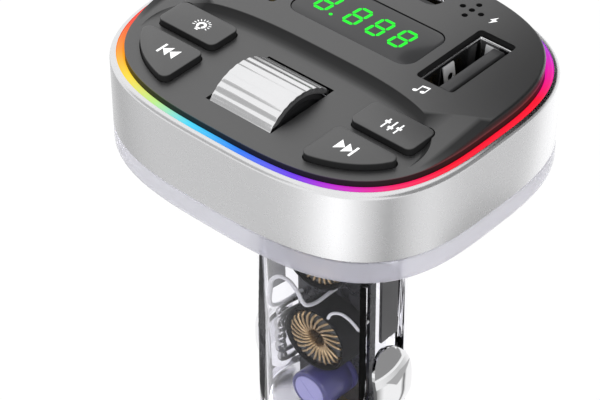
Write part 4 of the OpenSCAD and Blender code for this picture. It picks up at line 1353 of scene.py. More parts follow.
@dataclass
class Deck:
    """The dark top plate with its sunken floor and its windows.

    Attributes:
        outline: The head's outline.
        keys: The keys' outlines.
        display: The display.
        ports: The charging ports.
        roller: The volume roller.
        inset: Inset of the plate's outside.
        foot: Height of its lower edge.
        under: Height of the plate's underside.
        floor: Height of the sunken floor.
        top: Height of the deck.
        edge: Roundness of the deck's outer edge.
        skirt: Thickness of the skirt.
        step: Distance of the deck's front edge in front of the centre.
        slope: Width of the slope below it.
        half: Half the recess's length at the deck.
        side_slope: Width of the slope at the sides.
        middle: Where the recess is longest, in front of the centre.
        roundness: How round the recess's ends are, from 0 for square to 1 for elliptic.
        cove: How sharply the slope is coved into the floor.
        run_out: Where the slope meets the soft end at the deck.
        run_out_rim: Where that soft end meets the rim.
        fall: Length of the soft end's fall.
        fall_from: Distance from the centre line at which it starts.
        key_gap: Gap round a key.
        display_window: Length and width of the display's window.
        wide_window: Width and length of a wide port's window.
        small_window: Length and width of the small port's window.
        roller_window: Half length and radius of the roller's window.
        mic: The microphone's place.
        mic_pitch: Pitch of its holes.
        mic_hole: Their radius.
    """

    outline: HeadOutline
    keys: KeyShape
    display: Display
    ports: Ports
    roller: Roller
    inset: float = 1.75
    foot: float = 13.0
    under: float = 14.05
    floor: float = 15.45
    top: float = 16.7
    edge: float = 0.35
    skirt: float = 0.9
    step: float = 1.7
    slope: float = 3.1
    half: float = 23.3
    side_slope: float = 0.975
    middle: float = 12.0
    roundness: float = 2 / 3
    cove: float = 2.2
    run_out: Flat = (18.5, -2.7)
    run_out_rim: Flat = (25.0, 1.0)
    fall: float = 10.5
    fall_from: float = 17.0
    key_gap: float = 0.12
    display_window: Flat = (20.8, 8.9)
    wide_window: Flat = (5.95, 13.2)
    small_window: Flat = (9.05, 3.35)
    roller_window: Flat = (5.5, 7.5)
    mic: Flat = (8.5, 17.4)
    mic_pitch: float = 1.5
    mic_hole: float = 0.42

    def hollow(self, share: float, level: float) -> list[Point]:
        """The recess's edge at a share of its slope.

        Args:
            share: 0 at the floor and 1 at the deck.
            level: The height of the loop.

        Returns:
            A loop that is open wide to the front.
        """
        half = self.half - self.side_slope * (1 - share)
        edge = self.step + self.slope * (1 - share)
        steps, k, far = 96, self.roundness, self.outline.length
        points = []
        for i in range(steps + 1):
            c, s = (f(math.pi * i / steps) for f in (math.cos, math.sin))
            along, across = half * math.copysign(abs(c) ** k, c), (self.middle - edge) * s ** k
            points.append((along, -self.middle + across, level))
        return points + [(-far, -far, level), (far, -far, level)]

    def block(self) -> Form:
        """The plate before its windows are cut."""
        loop = self.outline.loop
        levels = [loop(self.inset, self.foot)]
        levels += rounded_edge(loop, self.inset + self.edge, self.top - self.edge, self.edge, 0.0, 90.0, 6)
        return Form().stack(levels, Ends.CAPPED)

    def recess(self) -> Form:
        """The room above the sunken floor, its slope coved into the floor."""
        rise, steps = self.top + 0.02 - self.floor, 12
        shares = [i / steps for i in range(steps + 1)]
        levels = [self.hollow(share, self.floor + rise * share ** self.cove) for share in shares]
        levels.append(self.hollow(1.15, self.top + 1.5))
        return Form().stack(levels, Ends.CAPPED)

    def ramp(self, side: Side) -> Form:
        """What is taken off the deck's front end, so that it falls softly to the sunken floor.

        Args:
            side: The end that it is for.

        Returns:
            A block whose lower face is the ramp.
        """
        start = Vector(self.run_out)
        along = (Vector(self.run_out_rim) - start).normalized()
        tilt = math.atan((self.top - self.floor) / self.fall)
        block = Form().bar((-40.0, -60.0, 0.0), (40.0, 0.0, 6.0))
        turn = Matrix.Rotation(math.atan2(along.y, along.x), 4, "Z") @ Matrix.Rotation(tilt, 4, "X")
        block.move(Matrix.Translation((start.x, start.y, self.top)) @ turn)
        limit = Form().bar((self.fall_from, -20.0, self.floor), (30.0, 5.0, self.top + 2.0))
        return block.carved(limit, Cut.KEEP).on(side)

    def windows(self) -> Form:
        """Cutters for the display, the keys, the ports, the roller and the microphone."""
        low, high = self.under - 1.0, self.top + 1.0
        ports, roller = self.ports, self.roller
        cut = Form().prism(round_box(*self.display_window, 2.0, self.display.centre), low, high)
        for side in Side:
            wide = round_box(*self.wide_window, 0.65, (side.value * ports.x, ports.y))
            keys = [[(side.value * x, y) for x, y in outline(self.key_gap)]
                    for outline in (self.keys.rear, self.keys.front)]
            for points in (*keys, wide):
                cut.also(Form().prism(points, low, high))
        cut.also(Form().prism(round_box(*self.small_window, 1.66, (0, ports.small_y), 10), low, high))
        half, radius = self.roller_window
        ends = ((-half, roller.axis_y, roller.axis_z), (half, roller.axis_y, roller.axis_z))
        cut.also(Form().rod(*ends, radius, 96))
        (x, y), pitch = self.mic, self.mic_pitch
        for along, across in ((0, 0), (pitch, 0), (-pitch, 0), (0, pitch), (0, -pitch)):
            hole = (x + along, y + across)
            cut.also(Form().rod((*hole, low), (*hole, high), self.mic_hole, 20))
        return cut

    def build(self) -> None:
        """Makes the plate."""
        loop = self.outline.loop
        inner = self.inset + self.skirt
        under = Form().stack([loop(inner, self.foot - 1.0), loop(inner, self.under)], Ends.CAPPED)
        form = self.block().carved(under).carved(self.recess())
        for side in Side:
            form.carved(self.ramp(side))
        form.carved(self.windows())
        plate = form.piece("deck_plate", Body.ROOT, DARK, ["top_plate"], bevel=0.06, sharp=30.0)
        even = plate.modifiers.new("even", "WEIGHTED_NORMAL")
        even.keep_sharp = True


@dataclass
class Keys:
    """The four keys with their printed signs.

    Attributes:
        shape: The keys' outlines.
        foot: Height of the keys' underside.
        lip_top: Height of the lip that keeps them under the plate.
        top: Height of their tops.
        lip: Width of that lip.
        edge: Radius of their upper edges.
        print_t: Thickness of the print.
    """

    shape: KeyShape
    foot: float = 13.05
    lip_top: float = 13.95
    top: float = 16.4
    lip: float = 0.5
    edge: float = 0.16
    print_t: float = 0.02

    def cap(self, name: str, node: str, body: Body, outline: Callable[[float], list[Flat]],
            side: Side) -> None:
        """One key cap with its lip."""
        form = Form().prism(outline(self.lip), self.foot, self.lip_top)
        form.also(Form().prism(outline(0.0), self.lip_top - 0.01, self.top, edge=self.edge, steps=4))
        form.on(side).piece(name, body, KEY, [node], sharp=50.0)

    def sign(self, name: str, body: Body, outlines: Sequence[Sequence[Flat]]) -> None:
        """A flat printed sign on a key's top."""
        Form().printed(outlines, self.top, self.print_t).piece(name, body, PRINT)

    @staticmethod
    def skip_arrows(x: float, y: float, side: Side) -> list[list[Flat]]:
        """Two arrows and a bar, pointing outwards."""
        s = side.value
        arrow = [(0.0, -1.0), (1.15, 0.0), (0.0, 1.0)]
        shapes = [[(x + s * (dx + px), y + py) for px, py in arrow] for dx in (-1.35, -0.15)]
        bar = ((1.02, -1.0), (1.34, -1.0), (1.34, 1.0), (1.02, 1.0))
        shapes.append([(x + s * px, y + py) for px, py in bar])
        return shapes

    @staticmethod
    def bars(x: float, y: float) -> list[list[Flat]]:
        """Three equaliser bars, each with its slider."""
        shapes = []
        for i, knob in enumerate((0.35, -0.4, 0.1)):
            cx = x + (i - 1) * 1.0
            shapes.append(box_outline(0.22, 2.1, (cx, y)))
            shapes.append(box_outline(0.74, 0.4, (cx, y + knob)))
        return shapes

    @staticmethod
    def bulb(x: float, y: float) -> list[list[Flat]]:
        """A light bulb with rays."""
        ring = arc((0.0, 0.1), 0.7, -55.0, 235.0, 20) + arc((0.0, 0.1), 0.34, 235.0, -55.0, 20)
        base = [box_outline(0.72, 0.24, (x, y - 0.58)), box_outline(0.5, 0.22, (x, y - 0.92))]
        ray = box_outline(0.36, 0.12, (1.12, 0.0))
        rays = [shifted(ray, x, y + 0.12, 1.0, turn) for turn in range(-20, 201, 22)]
        return [shifted(ring, x, y), *base, *rays]

    def build(self) -> None:
        """Makes the caps and their signs."""
        rear, front = self.shape.rear, self.shape.front
        self.cap("key_cap_light", "button_light", Body.KEY_LIGHT, rear, Side.LEFT)
        self.cap("key_cap_eq", "button_eq", Body.KEY_EQ, rear, Side.RIGHT)
        self.cap("key_cap_prev", "button_prev", Body.KEY_PREV, front, Side.LEFT)
        self.cap("key_cap_next", "button_next", Body.KEY_NEXT, front, Side.RIGHT)
        self.sign("sign_light", Body.KEY_LIGHT, self.bulb(-15.7, -8.0))
        self.sign("sign_equaliser", Body.KEY_EQ, self.bars(16.5, -8.0))
        self.sign("sign_prev", Body.KEY_PREV, self.skip_arrows(-14.9, -14.8, Side.LEFT))
        self.sign("sign_next", Body.KEY_NEXT, self.skip_arrows(15.1, -15.0, Side.RIGHT))


@dataclass
class Display:
    """The smoked window with its green digits.

    Attributes:
        centre: The window's middle.
        length: Its length.
        width: Its width.
        top: Height of its face.
        thick: Its thickness.
        digit_h: Height of a digit.
        digit_w: Its width.
        stroke: Width of a stroke.
        slant: How far a digit leans, in degrees.
        split: Half the gap between two strokes' tips.
        digits: Middles of the digits along the display.
        digits_y: Their middle across it.
        dot: Place of the point, from the first digit's middle and across the head.
        dot_r: Its radius.
        digit_over: How far the digits stand above the window.
    """

    centre: Flat = (0.0, 6.5)
    length: float = 20.7
    width: float = 8.8
    top: float = 16.6
    thick: float = 1.1
    digit_h: float = 4.1
    digit_w: float = 2.35
    stroke: float = 0.46
    slant: float = 5.0
    split: float = 0.09
    digits: tuple[float, ...] = (-6.7, -1.75, 2.05, 5.8)
    digits_y: float = 6.65
    dot: Flat = (2.0, 4.75)
    dot_r: float = 0.27
    digit_over: float = 0.015

    def flat_stroke(self, y: float) -> list[Flat]:
        """A stroke along the digit, pointed at both ends."""
        t = self.stroke / 2
        end = self.digit_w / 2 - t - self.split
        return [(-end, y), (-end + t, y - t), (end - t, y - t), (end, y), (end - t, y + t), (-end + t, y + t)]

    def tall_stroke(self, x: float, y: float) -> list[Flat]:
        """A stroke up the digit from a height, pointed at both ends."""
        t = self.stroke / 2
        low, high = y + self.split, y + self.digit_h / 2 - t - self.split
        return [(x, low), (x + t, low + t), (x + t, high - t), (x, high), (x - t, high - t), (x - t, low + t)]

    def strokes(self) -> list[list[Flat]]:
        """The seven strokes of one digit, round its middle."""
        w, h = self.digit_w / 2 - self.stroke / 2, self.digit_h / 2 - self.stroke / 2
        shapes = [self.flat_stroke(y) for y in (h, 0.0, -h)]
        shapes += [self.tall_stroke(x, y) for x in (-w, w) for y in (0.0, -h)]
        lean = math.tan(math.radians(self.slant))
        return [[(x + y * lean, y) for x, y in shape] for shape in shapes]

    def build(self) -> None:
        """Makes the window and the digits on it."""
        outline = round_box(self.length, self.width, 2.0, self.centre)
        form = Form().prism(outline, self.top - self.thick, self.top, edge=0.15, steps=3)
        form.piece("display_window", Body.ROOT, LENS, ["display_lens"], sharp=50.0)
        shapes = [shifted(shape, middle, self.digits_y) for middle in self.digits for shape in self.strokes()]
        shapes.append(shifted(circle(self.dot_r, 12), self.digits[0] + self.dot[0], self.dot[1]))
        Form().printed(shapes, self.top, self.digit_over).piece("green_digits", Body.ROOT, DIGIT)


@dataclass
class DeckSigns:
    """The printed signs beside the ports.

    Attributes:
        level: Height of the deck.
        print_t: Thickness of the print.
    """

    level: float = 16.7
    print_t: float = 0.02

    def note(self, x: float, y: float) -> list[list[Flat]]:
        """Two beamed notes."""
        head = [(0.34 * along, 0.25 * across) for along, across in circle(1.0, 12)]
        shapes = [shifted(head, x - 0.62, y - 0.62, 1.0, 20), shifted(head, x + 0.42, y - 0.42, 1.0, 20)]
        for stem in ((x - 0.36, y - 0.02), (x + 0.68, y + 0.18)):
            shapes.append(box_outline(0.14, 1.25, stem))
        shapes.append([(x - 0.43, y + 0.42), (x + 0.75, y + 0.62), (x + 0.75, y + 0.9), (x - 0.43, y + 0.7)])
        return shapes

    def bolt(self, x: float, y: float) -> list[list[Flat]]:
        """A small lightning bolt."""
        shape = [(0.15, 0.9), (-0.5, -0.12), (-0.05, -0.12), (-0.2, -0.9), (0.5, 0.16), (0.05, 0.16)]
        return [shifted(shape, x, y)]

    def build(self) -> None:
        """Prints the signs on the deck."""
        for name, shapes in (("sign_note", self.note(14.65, -0.15)), ("sign_bolt", self.bolt(12.1, 17.4))):
            Form().printed(shapes, self.level, self.print_t).piece(name, Body.ROOT, PRINT)


@dataclass
class Roller:
    """The fluted volume roller and what it turns on.

    Attributes:
        axis_y: The axis's place across the head.
        axis_z: Its height.
        radius: The roller's radius.
        length: Its length.
        flutes: How many flutes it has.
        depth: Their depth.
        flute_points: Points round one flute.
        sleeve: Thickness of the metal sleeve.
        axle_hole: Radius of the hub's hole.
        hub_rim: Radius at which the hub's inner rim ends.
        dish: Outer radius of its dished face.
        face_in: How far the hub's face lies inside the sleeve's end.
        dish_deep: Depth of the dish.
    """

    axis_y: float = -12.1
    axis_z: float = 10.8
    radius: float = 7.2
    length: float = 10.4
    flutes: int = 36
    depth: float = 0.13
    flute_points: int = 8
    sleeve: float = 0.95
    axle_hole: float = 1.02
    hub_rim: float = 2.3
    dish: float = 5.5
    face_in: float = 0.3
    dish_deep: float = 0.35

    def onto_axis(self) -> Matrix:
        """Lays a form made round Z on the roller's axis."""
        return Matrix.Translation((0, self.axis_y, self.axis_z)) @ Matrix.Rotation(math.radians(90), 4, "Y")

    def fluted(self, radius: float, depth: float, level: float) -> list[Point]:
        """A fluted loop at a height."""
        count = self.flutes * self.flute_points
        points = []
        for i, (x, y) in enumerate(circle(1.0, count)):
            r = radius - depth * (0.5 + 0.5 * math.cos(2 * math.pi * i / self.flute_points))
            points.append((r * x, r * y, level))
        return points

    def build(self) -> None:
        """Makes the sleeve, the dark core with its recessed face, and the axle."""
        half, r = self.length / 2, self.radius
        bore = r - self.sleeve
        end = [(bore, 0.0, half - 0.15), (bore + 0.15, 0.0, half), (r - 0.45, 0.02, half),
               (r - 0.08, self.depth * 0.6, half - 0.12), (r, self.depth, half - 0.4)]
        levels = [self.fluted(radius, depth, -z) for radius, depth, z in end]
        levels += [self.fluted(*loop) for loop in reversed(end)]
        form = Form().stack(levels, Ends.JOINED).move(self.onto_axis())
        form.piece("fluted_sleeve", Body.ROLLER, TURNED, ["volume_roller"], sharp=28.0)
        face, dish = half - self.face_in, half - self.face_in - self.dish_deep
        core = [(self.axle_hole, face), (self.hub_rim, face), (self.hub_rim + 0.2, dish),
                (self.dish - 0.3, dish), (self.dish, face), (bore - 0.06, face)]
        core = [(radius, -z) for radius, z in core] + list(reversed(core))
        hub = Form().spun(core, 72, close=True).move(self.onto_axis())
        hub.piece("roller_hub", Body.ROLLER, BLACK, ["roller_core"], bevel=0.06)


@dataclass
class Ports:
    """The metal shells, tongues and contacts of the charging ports.

    Attributes:
        x: Distance of a wide port from the centre line.
        y: Its middle behind the centre.
        long: Length of its shell.
        wide: Width of its shell.
        low: Height of the shells' feet.
        top: Height of a wide shell's rim.
        metal: Thickness of the shells.
        tongue: Thickness and length of a wide port's tongue.
        contacts: How many contacts it has.
        pitch: Their pitch.
        tab: Half the width of a spring tab.
        small: Length, width and corner radius of the small shell.
        small_y: The small port's middle.
        small_top: Height of its rim.
        small_tongue: Length, width and corner radius of its tongue.
        small_tongue_top: Height of that tongue.
        pads: How many pads each of its faces has.
        pad_pitch: Their pitch.
    """

    x: float = 15.0
    y: float = 8.25
    long: float = 12.9
    wide: float = 5.8
    low: float = 4.2
    top: float = 15.9
    metal: float = 0.3
    tongue: Flat = (1.85, 11.2)
    contacts: int = 4
    pitch: float = 2.3
    tab: float = 1.05
    small: Point = (8.9, 3.2, 1.55)
    small_y: float = 16.3
    small_top: float = 16.1
    small_tongue: Point = (6.7, 0.7, 0.2)
    small_tongue_top: float = 15.5
    pads: int = 12
    pad_pitch: float = 0.5

    @staticmethod
    def rounded(length: float, width: float, radius: float, centre: Flat, level: float) -> list[Point]:
        """A loop with round corners, at a height."""
        return [(x, y, level) for x, y in round_box(length, width, radius, centre)]

    def shell(self, length: float, width: float, radius: float, centre: Flat, top: float) -> Form:
        """A folded metal shell that is closed below."""
        inner = (length - 2 * self.metal, width - 2 * self.metal, radius - self.metal)
        return Form().stack([
            self.rounded(length, width, radius, centre, self.low),
            self.rounded(length, width, radius, centre, top - 0.08),
            self.rounded(length - 0.16, width - 0.16, radius - 0.08, centre, top),
            self.rounded(inner[0] + 0.16, inner[1] + 0.16, inner[2] + 0.08, centre, top),
            self.rounded(*inner, centre, top - 0.08),
            self.rounded(*inner, centre, self.low + 0.6)], Ends.CAPPED)

    def spring(self, x: float, y: float, facing: float, turned: bool, hole: bool) -> Form:
        """A spring tab that leans in from a shell's wall.

        Args:
            x: Its place along the head.
            y: Its place across the head.
            facing: The direction in which it leans, 1 or -1.
            turned: Whether it leans across the head instead of along it.
            hole: Whether it has a round hole.

        Returns:
            The tab.
        """
        path = [(0.0, 0.7), (0.1, 0.85), (0.5, 3.4), (0.55, 4.2), (0.3, 5.2), (0.05, 6.0)]
        half = self.tab
        form = Form()
        verts = [form.bm.verts.new((facing * lean, -half, self.top - drop)) for lean, drop in path]
        edges = [form.bm.edges.new(pair) for pair in zip(verts, verts[1:])]
        made = bmesh.ops.extrude_edge_only(form.bm, edges=edges)
        moved = [g for g in made["geom"] if isinstance(g, bmesh.types.BMVert)]
        bmesh.ops.translate(form.bm, verts=moved, vec=(0, 2 * half, 0))
        bmesh.ops.solidify(form.bm, geom=form.bm.faces[:], thickness=0.2)
        if hole:
            form.carved(Form().rod((-3.0, 0.1, self.top - 2.4), (3.0, 0.1, self.top - 2.4), 0.55, 24))
        turn = Matrix.Rotation(math.radians(90 if turned else 0), 4, "Z")
        return form.move(Matrix.Translation((x, y, 0)) @ turn)

    def wide_port(self, side: Side) -> None:
        """One wide port with its springs, tongue and contacts."""
        name = side.name.lower()
        shell = self.shell(self.wide, self.long, 0.5, (self.x, self.y), self.top)
        inner = self.x - self.wide / 2 + self.metal
        springs = self.spring(inner, self.y - 0.6, 1.0, False, True)
        springs.also(self.spring(inner + 2.0, self.y + self.long / 2 - self.metal, -1.0, True, False))
        springs.also(self.spring(inner + 2.0, self.y - self.long / 2 + self.metal, 1.0, True, False))
        back = self.x + self.wide / 2 - self.metal - 0.75
        outline = round_box(*self.tongue, 0.2, (back - self.tongue[0] / 2, self.y), 2)
        tongue = Form().prism(outline, self.low + 0.6, self.top - 0.1, edge=0.3, steps=3)
        contacts = Form()
        face = back - self.tongue[0]
        for i in range(self.contacts):
            y = self.y + (i - (self.contacts - 1) / 2) * self.pitch
            contacts.bar((face - 0.08, y - 0.5, self.low + 1.0), (face + 0.01, y + 0.5, self.top - 1.2))
        for form in (shell, springs, tongue, contacts):
            form.on(side)
        shell.piece(f"port_shell_{name}", Body.ROOT, SHELL, [f"usb_a_shell_{name}"], sharp=50.0)
        springs.piece(f"port_springs_{name}", Body.ROOT, PORT_SPRING, sharp=40.0)
        tongue.piece(f"port_tongue_{name}", Body.ROOT, TONGUE, [f"usb_a_tongue_{name}"], sharp=50.0)
        contacts.piece(f"port_contacts_{name}", Body.ROOT, GOLD)

    def build(self) -> None:
        """Makes all three ports."""
        for side in Side:
            self.wide_port(side)
        small = self.shell(*self.small, (0, self.small_y), self.small_top)
        small.piece("port_shell_small", Body.ROOT, SHELL, ["usb_c_shell"], sharp=50.0)
        outline = round_box(*self.small_tongue, (0, self.small_y), 2)
        tongue = Form().prism(outline, self.low + 0.6, self.small_tongue_top, edge=0.1)
        tongue.piece("port_tongue_small", Body.ROOT, BLACK, ["usb_c_tongue"], sharp=50.0)
        pads = Form()
        for i in range(self.pads):
            x = (i - (self.pads - 1) / 2) * self.pad_pitch
            for face in (-1, 1):
                y = self.small_y + face * (self.small_tongue[1] / 2 + 0.01)
                pads.bar((x - 0.13, y - 0.02, 11.0), (x + 0.13, y + 0.02, self.small_tongue_top - 0.2))
        pads.piece("port_contacts_small", Body.ROOT, GOLD)


# The plug


@dataclass
class Drums:
    """The two drum coils on the plug's board.

    Attributes:
        x: Their middle along the head.
        levels: Their heights.
        front: The cups' front, in front of the plug's axis.
        back: The board's face.
        cup: Radius of a cup.
        wall: Its wall.
        outer: Outer radius of the winding's middle line.
        inner: Inner radius of it.
        wire: Radius of the wire.
        loops: Loops of a winding.
        loop_points: Points round one loop.
        covered: The share of the ring that the winding covers.
        swirl: How far a loop sweeps sideways, in radians.
    """

    x: float = 1.0
    levels: tuple[tuple[str, float], ...] = (("upper", -14.5), ("lower", -29.2))
    front: float = -4.9
    back: float = 0.4
    cup: float = 5.2
    wall: float = 0.35
    outer: float = 4.5
    inner: float = 1.35
    wire: float = 0.21
    loops: int = 24
    loop_points: int = 20
    covered: float = 0.97
    swirl: float = 0.32

    def onto_board(self, level: float) -> Matrix:
        """Turns a form made round Z so that it faces forwards at a height."""
        return Matrix.Translation((self.x, 0, level)) @ Matrix.Rotation(math.radians(90), 4, "X")

    @staticmethod
    def squared(value: float) -> float:
        """Turns a sine or cosine so that a loop has fuller corners."""
        return math.copysign(abs(value) ** 0.5, value)

    def path(self) -> list[Point]:
        """The wire's way out of the cup's floor and round the core."""
        back, front = -self.back + 0.75, -self.front - 0.12
        count = self.loops * self.loop_points
        points = []
        for i in range(count):
            u = 2 * math.pi * i / self.loop_points
            turn = 2 * math.pi * self.covered * i / count
            c, s = math.cos(u), math.sin(u)
            r = (self.outer + self.inner) / 2 + (self.outer - self.inner) / 2 * self.squared(c)
            z = (front + back) / 2 + (front - back) / 2 * self.squared(s)
            swirl = self.swirl * (self.outer - r) / (self.outer - self.inner) * (1 if s > 0 else 0.2)
            points.append((r * math.cos(turn + swirl), r * math.sin(turn + swirl), z))
        first, last = points[0], points[-1]
        return [(first[0], first[1], 0.12)] + points + [(last[0] * 1.05, last[1] * 1.05, 0.12)]

    def build(self) -> None:
        """Makes the cups, cores and windings."""
        depth = self.back - self.front
        inside = self.cup - self.wall
        for name, level in self.levels:
            lay = self.onto_board(level)
            start = -self.back
            rim = start + depth
            cup = [(0.0, start), (self.cup - 0.2, start), (self.cup, start + 0.2), (self.cup, rim - 0.25),
                   (self.cup - 0.08, rim - 0.06), (self.cup - 0.25, rim), (inside, rim - 0.1),
                   (inside, start + 0.5), (0.0, start + 0.5)]
            Form().spun(cup, 72).move(lay).piece(
                f"drum_cup_{name}_shell", Body.ROOT, FERRITE, [f"drum_cup_{name}"], sharp=40.0)
            low, high = start + 0.98, -self.front - 0.36
            hole = self.inner + 0.64
            core = [(hole, low), (self.outer - 0.24, low), (self.outer - 0.24, high - 0.2),
                    (self.outer - 0.44, high), (hole + 0.2, high), (hole, high - 0.2)]
            Form().spun(core, 72, close=True).move(lay).piece(
                f"drum_ring_{name}", Body.ROOT, CORE, [f"drum_core_{name}"], sharp=40.0)
            Form().wire(self.path(), self.wire, 2, smooth=False).move(lay).piece(
                f"copper_loops_{name}", Body.ROOT, COPPER, [f"drum_winding_{name}"], sharp=60.0)


@dataclass
class PlugParts:
    """The capacitor, leads, chips and strips inside the plug.

    Attributes:
        board: The board's front face.
        can_x: The capacitor's middle.
        can_z: Its height.
        can_r: Its radius.
        can_l: Its length.
        can_groove: Depth of its groove.
        loops: The tinned loops, each with its place along the head, front, lower and upper end, and sway.
        tin_r: Radius of their wire.
        twist_r: Radius of the strand that winds round it.
        strip_low: Height of the strips' lower end.
        strip_high: Height of their upper end.
    """

    board: float = 0.4
    can_x: float = 1.2
    can_z: float = -38.15
    can_r: float = 3.15
    can_l: float = 6.6
    can_groove: float = 0.22
    loops: tuple[tuple[float, ...], ...] = (
        (-5.95, -4.1, -37.8, -27.6, 0.12), (-5.1, -5.2, -35.0, -28.4, -0.1))
    tin_r: float = 0.35
    twist_r: float = 0.3
    strip_low: float = -27.5
    strip_high: float = -16.1

    def capacitor(self) -> None:
        """A sleeved can with a groove and a scored end."""
        r, end = self.can_r, self.can_l
        groove, sunk = r - self.can_groove, end - 0.12
        body = [(0.0, 0.0), (r - 0.15, 0.0), (r, 0.15), (r, 0.6), (groove, 0.85), (groove, 1.05), (r, 1.3),
                (r, end - 0.5), (r - 0.1, end - 0.15), (r - 0.35, end), (r - 0.6, end - 0.02),
                (r - 0.66, sunk), (0.0, sunk)]
        place = Matrix.Translation((self.can_x, self.board, self.can_z))
        lay = place @ Matrix.Rotation(math.radians(90), 4, "X")
        Form().spun(body, 72).move(lay).piece("sleeved_can", Body.ROOT, SLEEVE, ["capacitor"], sharp=50.0)
        lid = Form().spun([(0.0, sunk), (r - 0.68, sunk), (r - 0.74, end - 0.02), (0.0, end - 0.02)], 64)
        for turn in (45, 135):
            bar = Form().bar((-r + 1.0, -0.09, end - 0.06), (r - 1.0, 0.09, end + 0.3))
            lid.carved(bar.move(Matrix.Rotation(math.radians(turn), 4, "Z")))
        lid.move(lay).piece("can_end", Body.ROOT, CAN_END, sharp=40.0)

    def leads(self) -> None:
        """The two white leads in their arches."""
        upper = [(-5.68, self.board, -26.5), (-5.68, -4.6, -26.5), (-5.68, -5.7, -25.9), (-5.6, -5.8, -23.4),
                 (-4.9, -5.8, -20.6), (-2.9, -5.8, -19.6), (-1.1, -5.8, -20.8), (0.0, -5.8, -22.4),
                 (0.2, -5.2, -23.1), (0.2, self.board, -23.2)]
        Form().wire(upper, 0.3).piece("white_lead_upper", Body.ROOT, WHITE, ["lead_upper"], sharp=60.0)
        lower = [(3.1, -4.5, -24.4), (3.5, -4.4, -23.5), (4.4, -4.0, -23.1), (5.3, -3.2, -24.0),
                 (5.9, -2.5, -25.4), (6.15, -1.7, -26.8), (6.15, -0.8, -27.2), (6.1, self.board, -27.2)]
        Form().wire(lower, 0.22).piece("white_lead_lower", Body.ROOT, WHITE, ["lead_lower"], sharp=60.0)

    def tinned(self) -> None:
        """The tinned loops in front of the board, each with a strand wound round it."""
        tin = Form()
        steps, twists = 7, 48
        for x, front, low, high, sway in self.loops:
            path = [(x, self.board, low), (x, front + 0.9, low), (x, front + 0.1, low + 0.5)]
            for i in range(1, steps):
                wave = sway * math.sin(2.4 * i)
                path.append((x + 0.5 * wave, front + wave, low + 0.5 + (high - low - 1.0) * i / steps))
            path += [(x, front + 0.1, high - 0.5), (x, front + 0.9, high), (x, self.board, high)]
            tin.wire(path, self.tin_r)
            strand = []
            for i in range(twists + 1):
                turn, level = 0.62 * i, low + 0.8 + (high - low - 1.6) * i / twists
                strand.append((x + 0.42 * math.cos(turn), front + 0.45 + 0.42 * math.sin(turn), level))
            tin.wire(strand, self.twist_r, 2)
        tin.piece("tinned_loops", Body.ROOT, TIN, ["tinned_leads"], sharp=60.0)

    def strips(self) -> None:
        """The flat strips above the side contacts."""
        for side in Side:
            name = side.name.lower()
            high = self.strip_high
            form = Form().bar((9.7, -1.7, self.strip_low), (10.2, 1.7, high))
            form.also(Form().bar((6.5, self.board, high - 3.0), (9.75, 1.6, high - 0.02)))
            node = f"contact_strip_{name}"
            form.on(side).piece(f"spring_strip_{name}", Body.ROOT, STRIP, [node], bevel=0.12)

    def build(self) -> None:
        """Makes all of them."""
        self.capacitor()
        self.leads()
        self.tinned()
        self.strips()


@dataclass
class SideContacts:
    """The crowned spring contacts at the plug's sides.

    Attributes:
        peak: Their outermost reach.
        drop: Their middle below the flange.
        length: Their length.
        width: Their width.
        curve: Depth of their bow.
        fullness: How straight their middle is.
        metal: Their thickness.
    """

    peak: float = 11.9
    drop: float = 36.5
    length: float = 12.6
    width: float = 7.4
    curve: float = 2.7
    fullness: float = 2.8
    metal: float = 0.5

    def bow(self, depth: float) -> list[Flat]:
        """The contact's upright profile at a depth below its outer face."""
        steps, half = 40, self.length / 2 + 0.1
        shares = (2 * i / steps - 1 for i in range(steps + 1))
        return [(self.peak - depth - self.curve * abs(s) ** self.fullness, s * half) for s in shares]

    def build(self) -> None:
        """Makes both contacts as slices of a bowed drum."""
        outer, inner = self.bow(0.0), list(reversed(self.bow(self.metal)))
        for side, body in ((Side.LEFT, Body.CONTACT_LEFT), (Side.RIGHT, Body.CONTACT_RIGHT)):
            name = side.name.lower()
            form = Form().spun(outer + inner, 144, close=True)
            outline = round_box(self.length, self.width, self.width / 2 - 0.02, steps=16)
            keep = Form().prism(outline, 3.0, 14.0).move(Matrix.Rotation(math.radians(90), 4, "Y"))
            form.carved(keep, Cut.KEEP).move(Matrix.Translation((0, 0, -self.drop)))
            node = f"side_contact_{name}"
            form.on(side).piece(f"domed_contact_{name}", body, CHROME, [node], bevel=0.12, sharp=50.0)


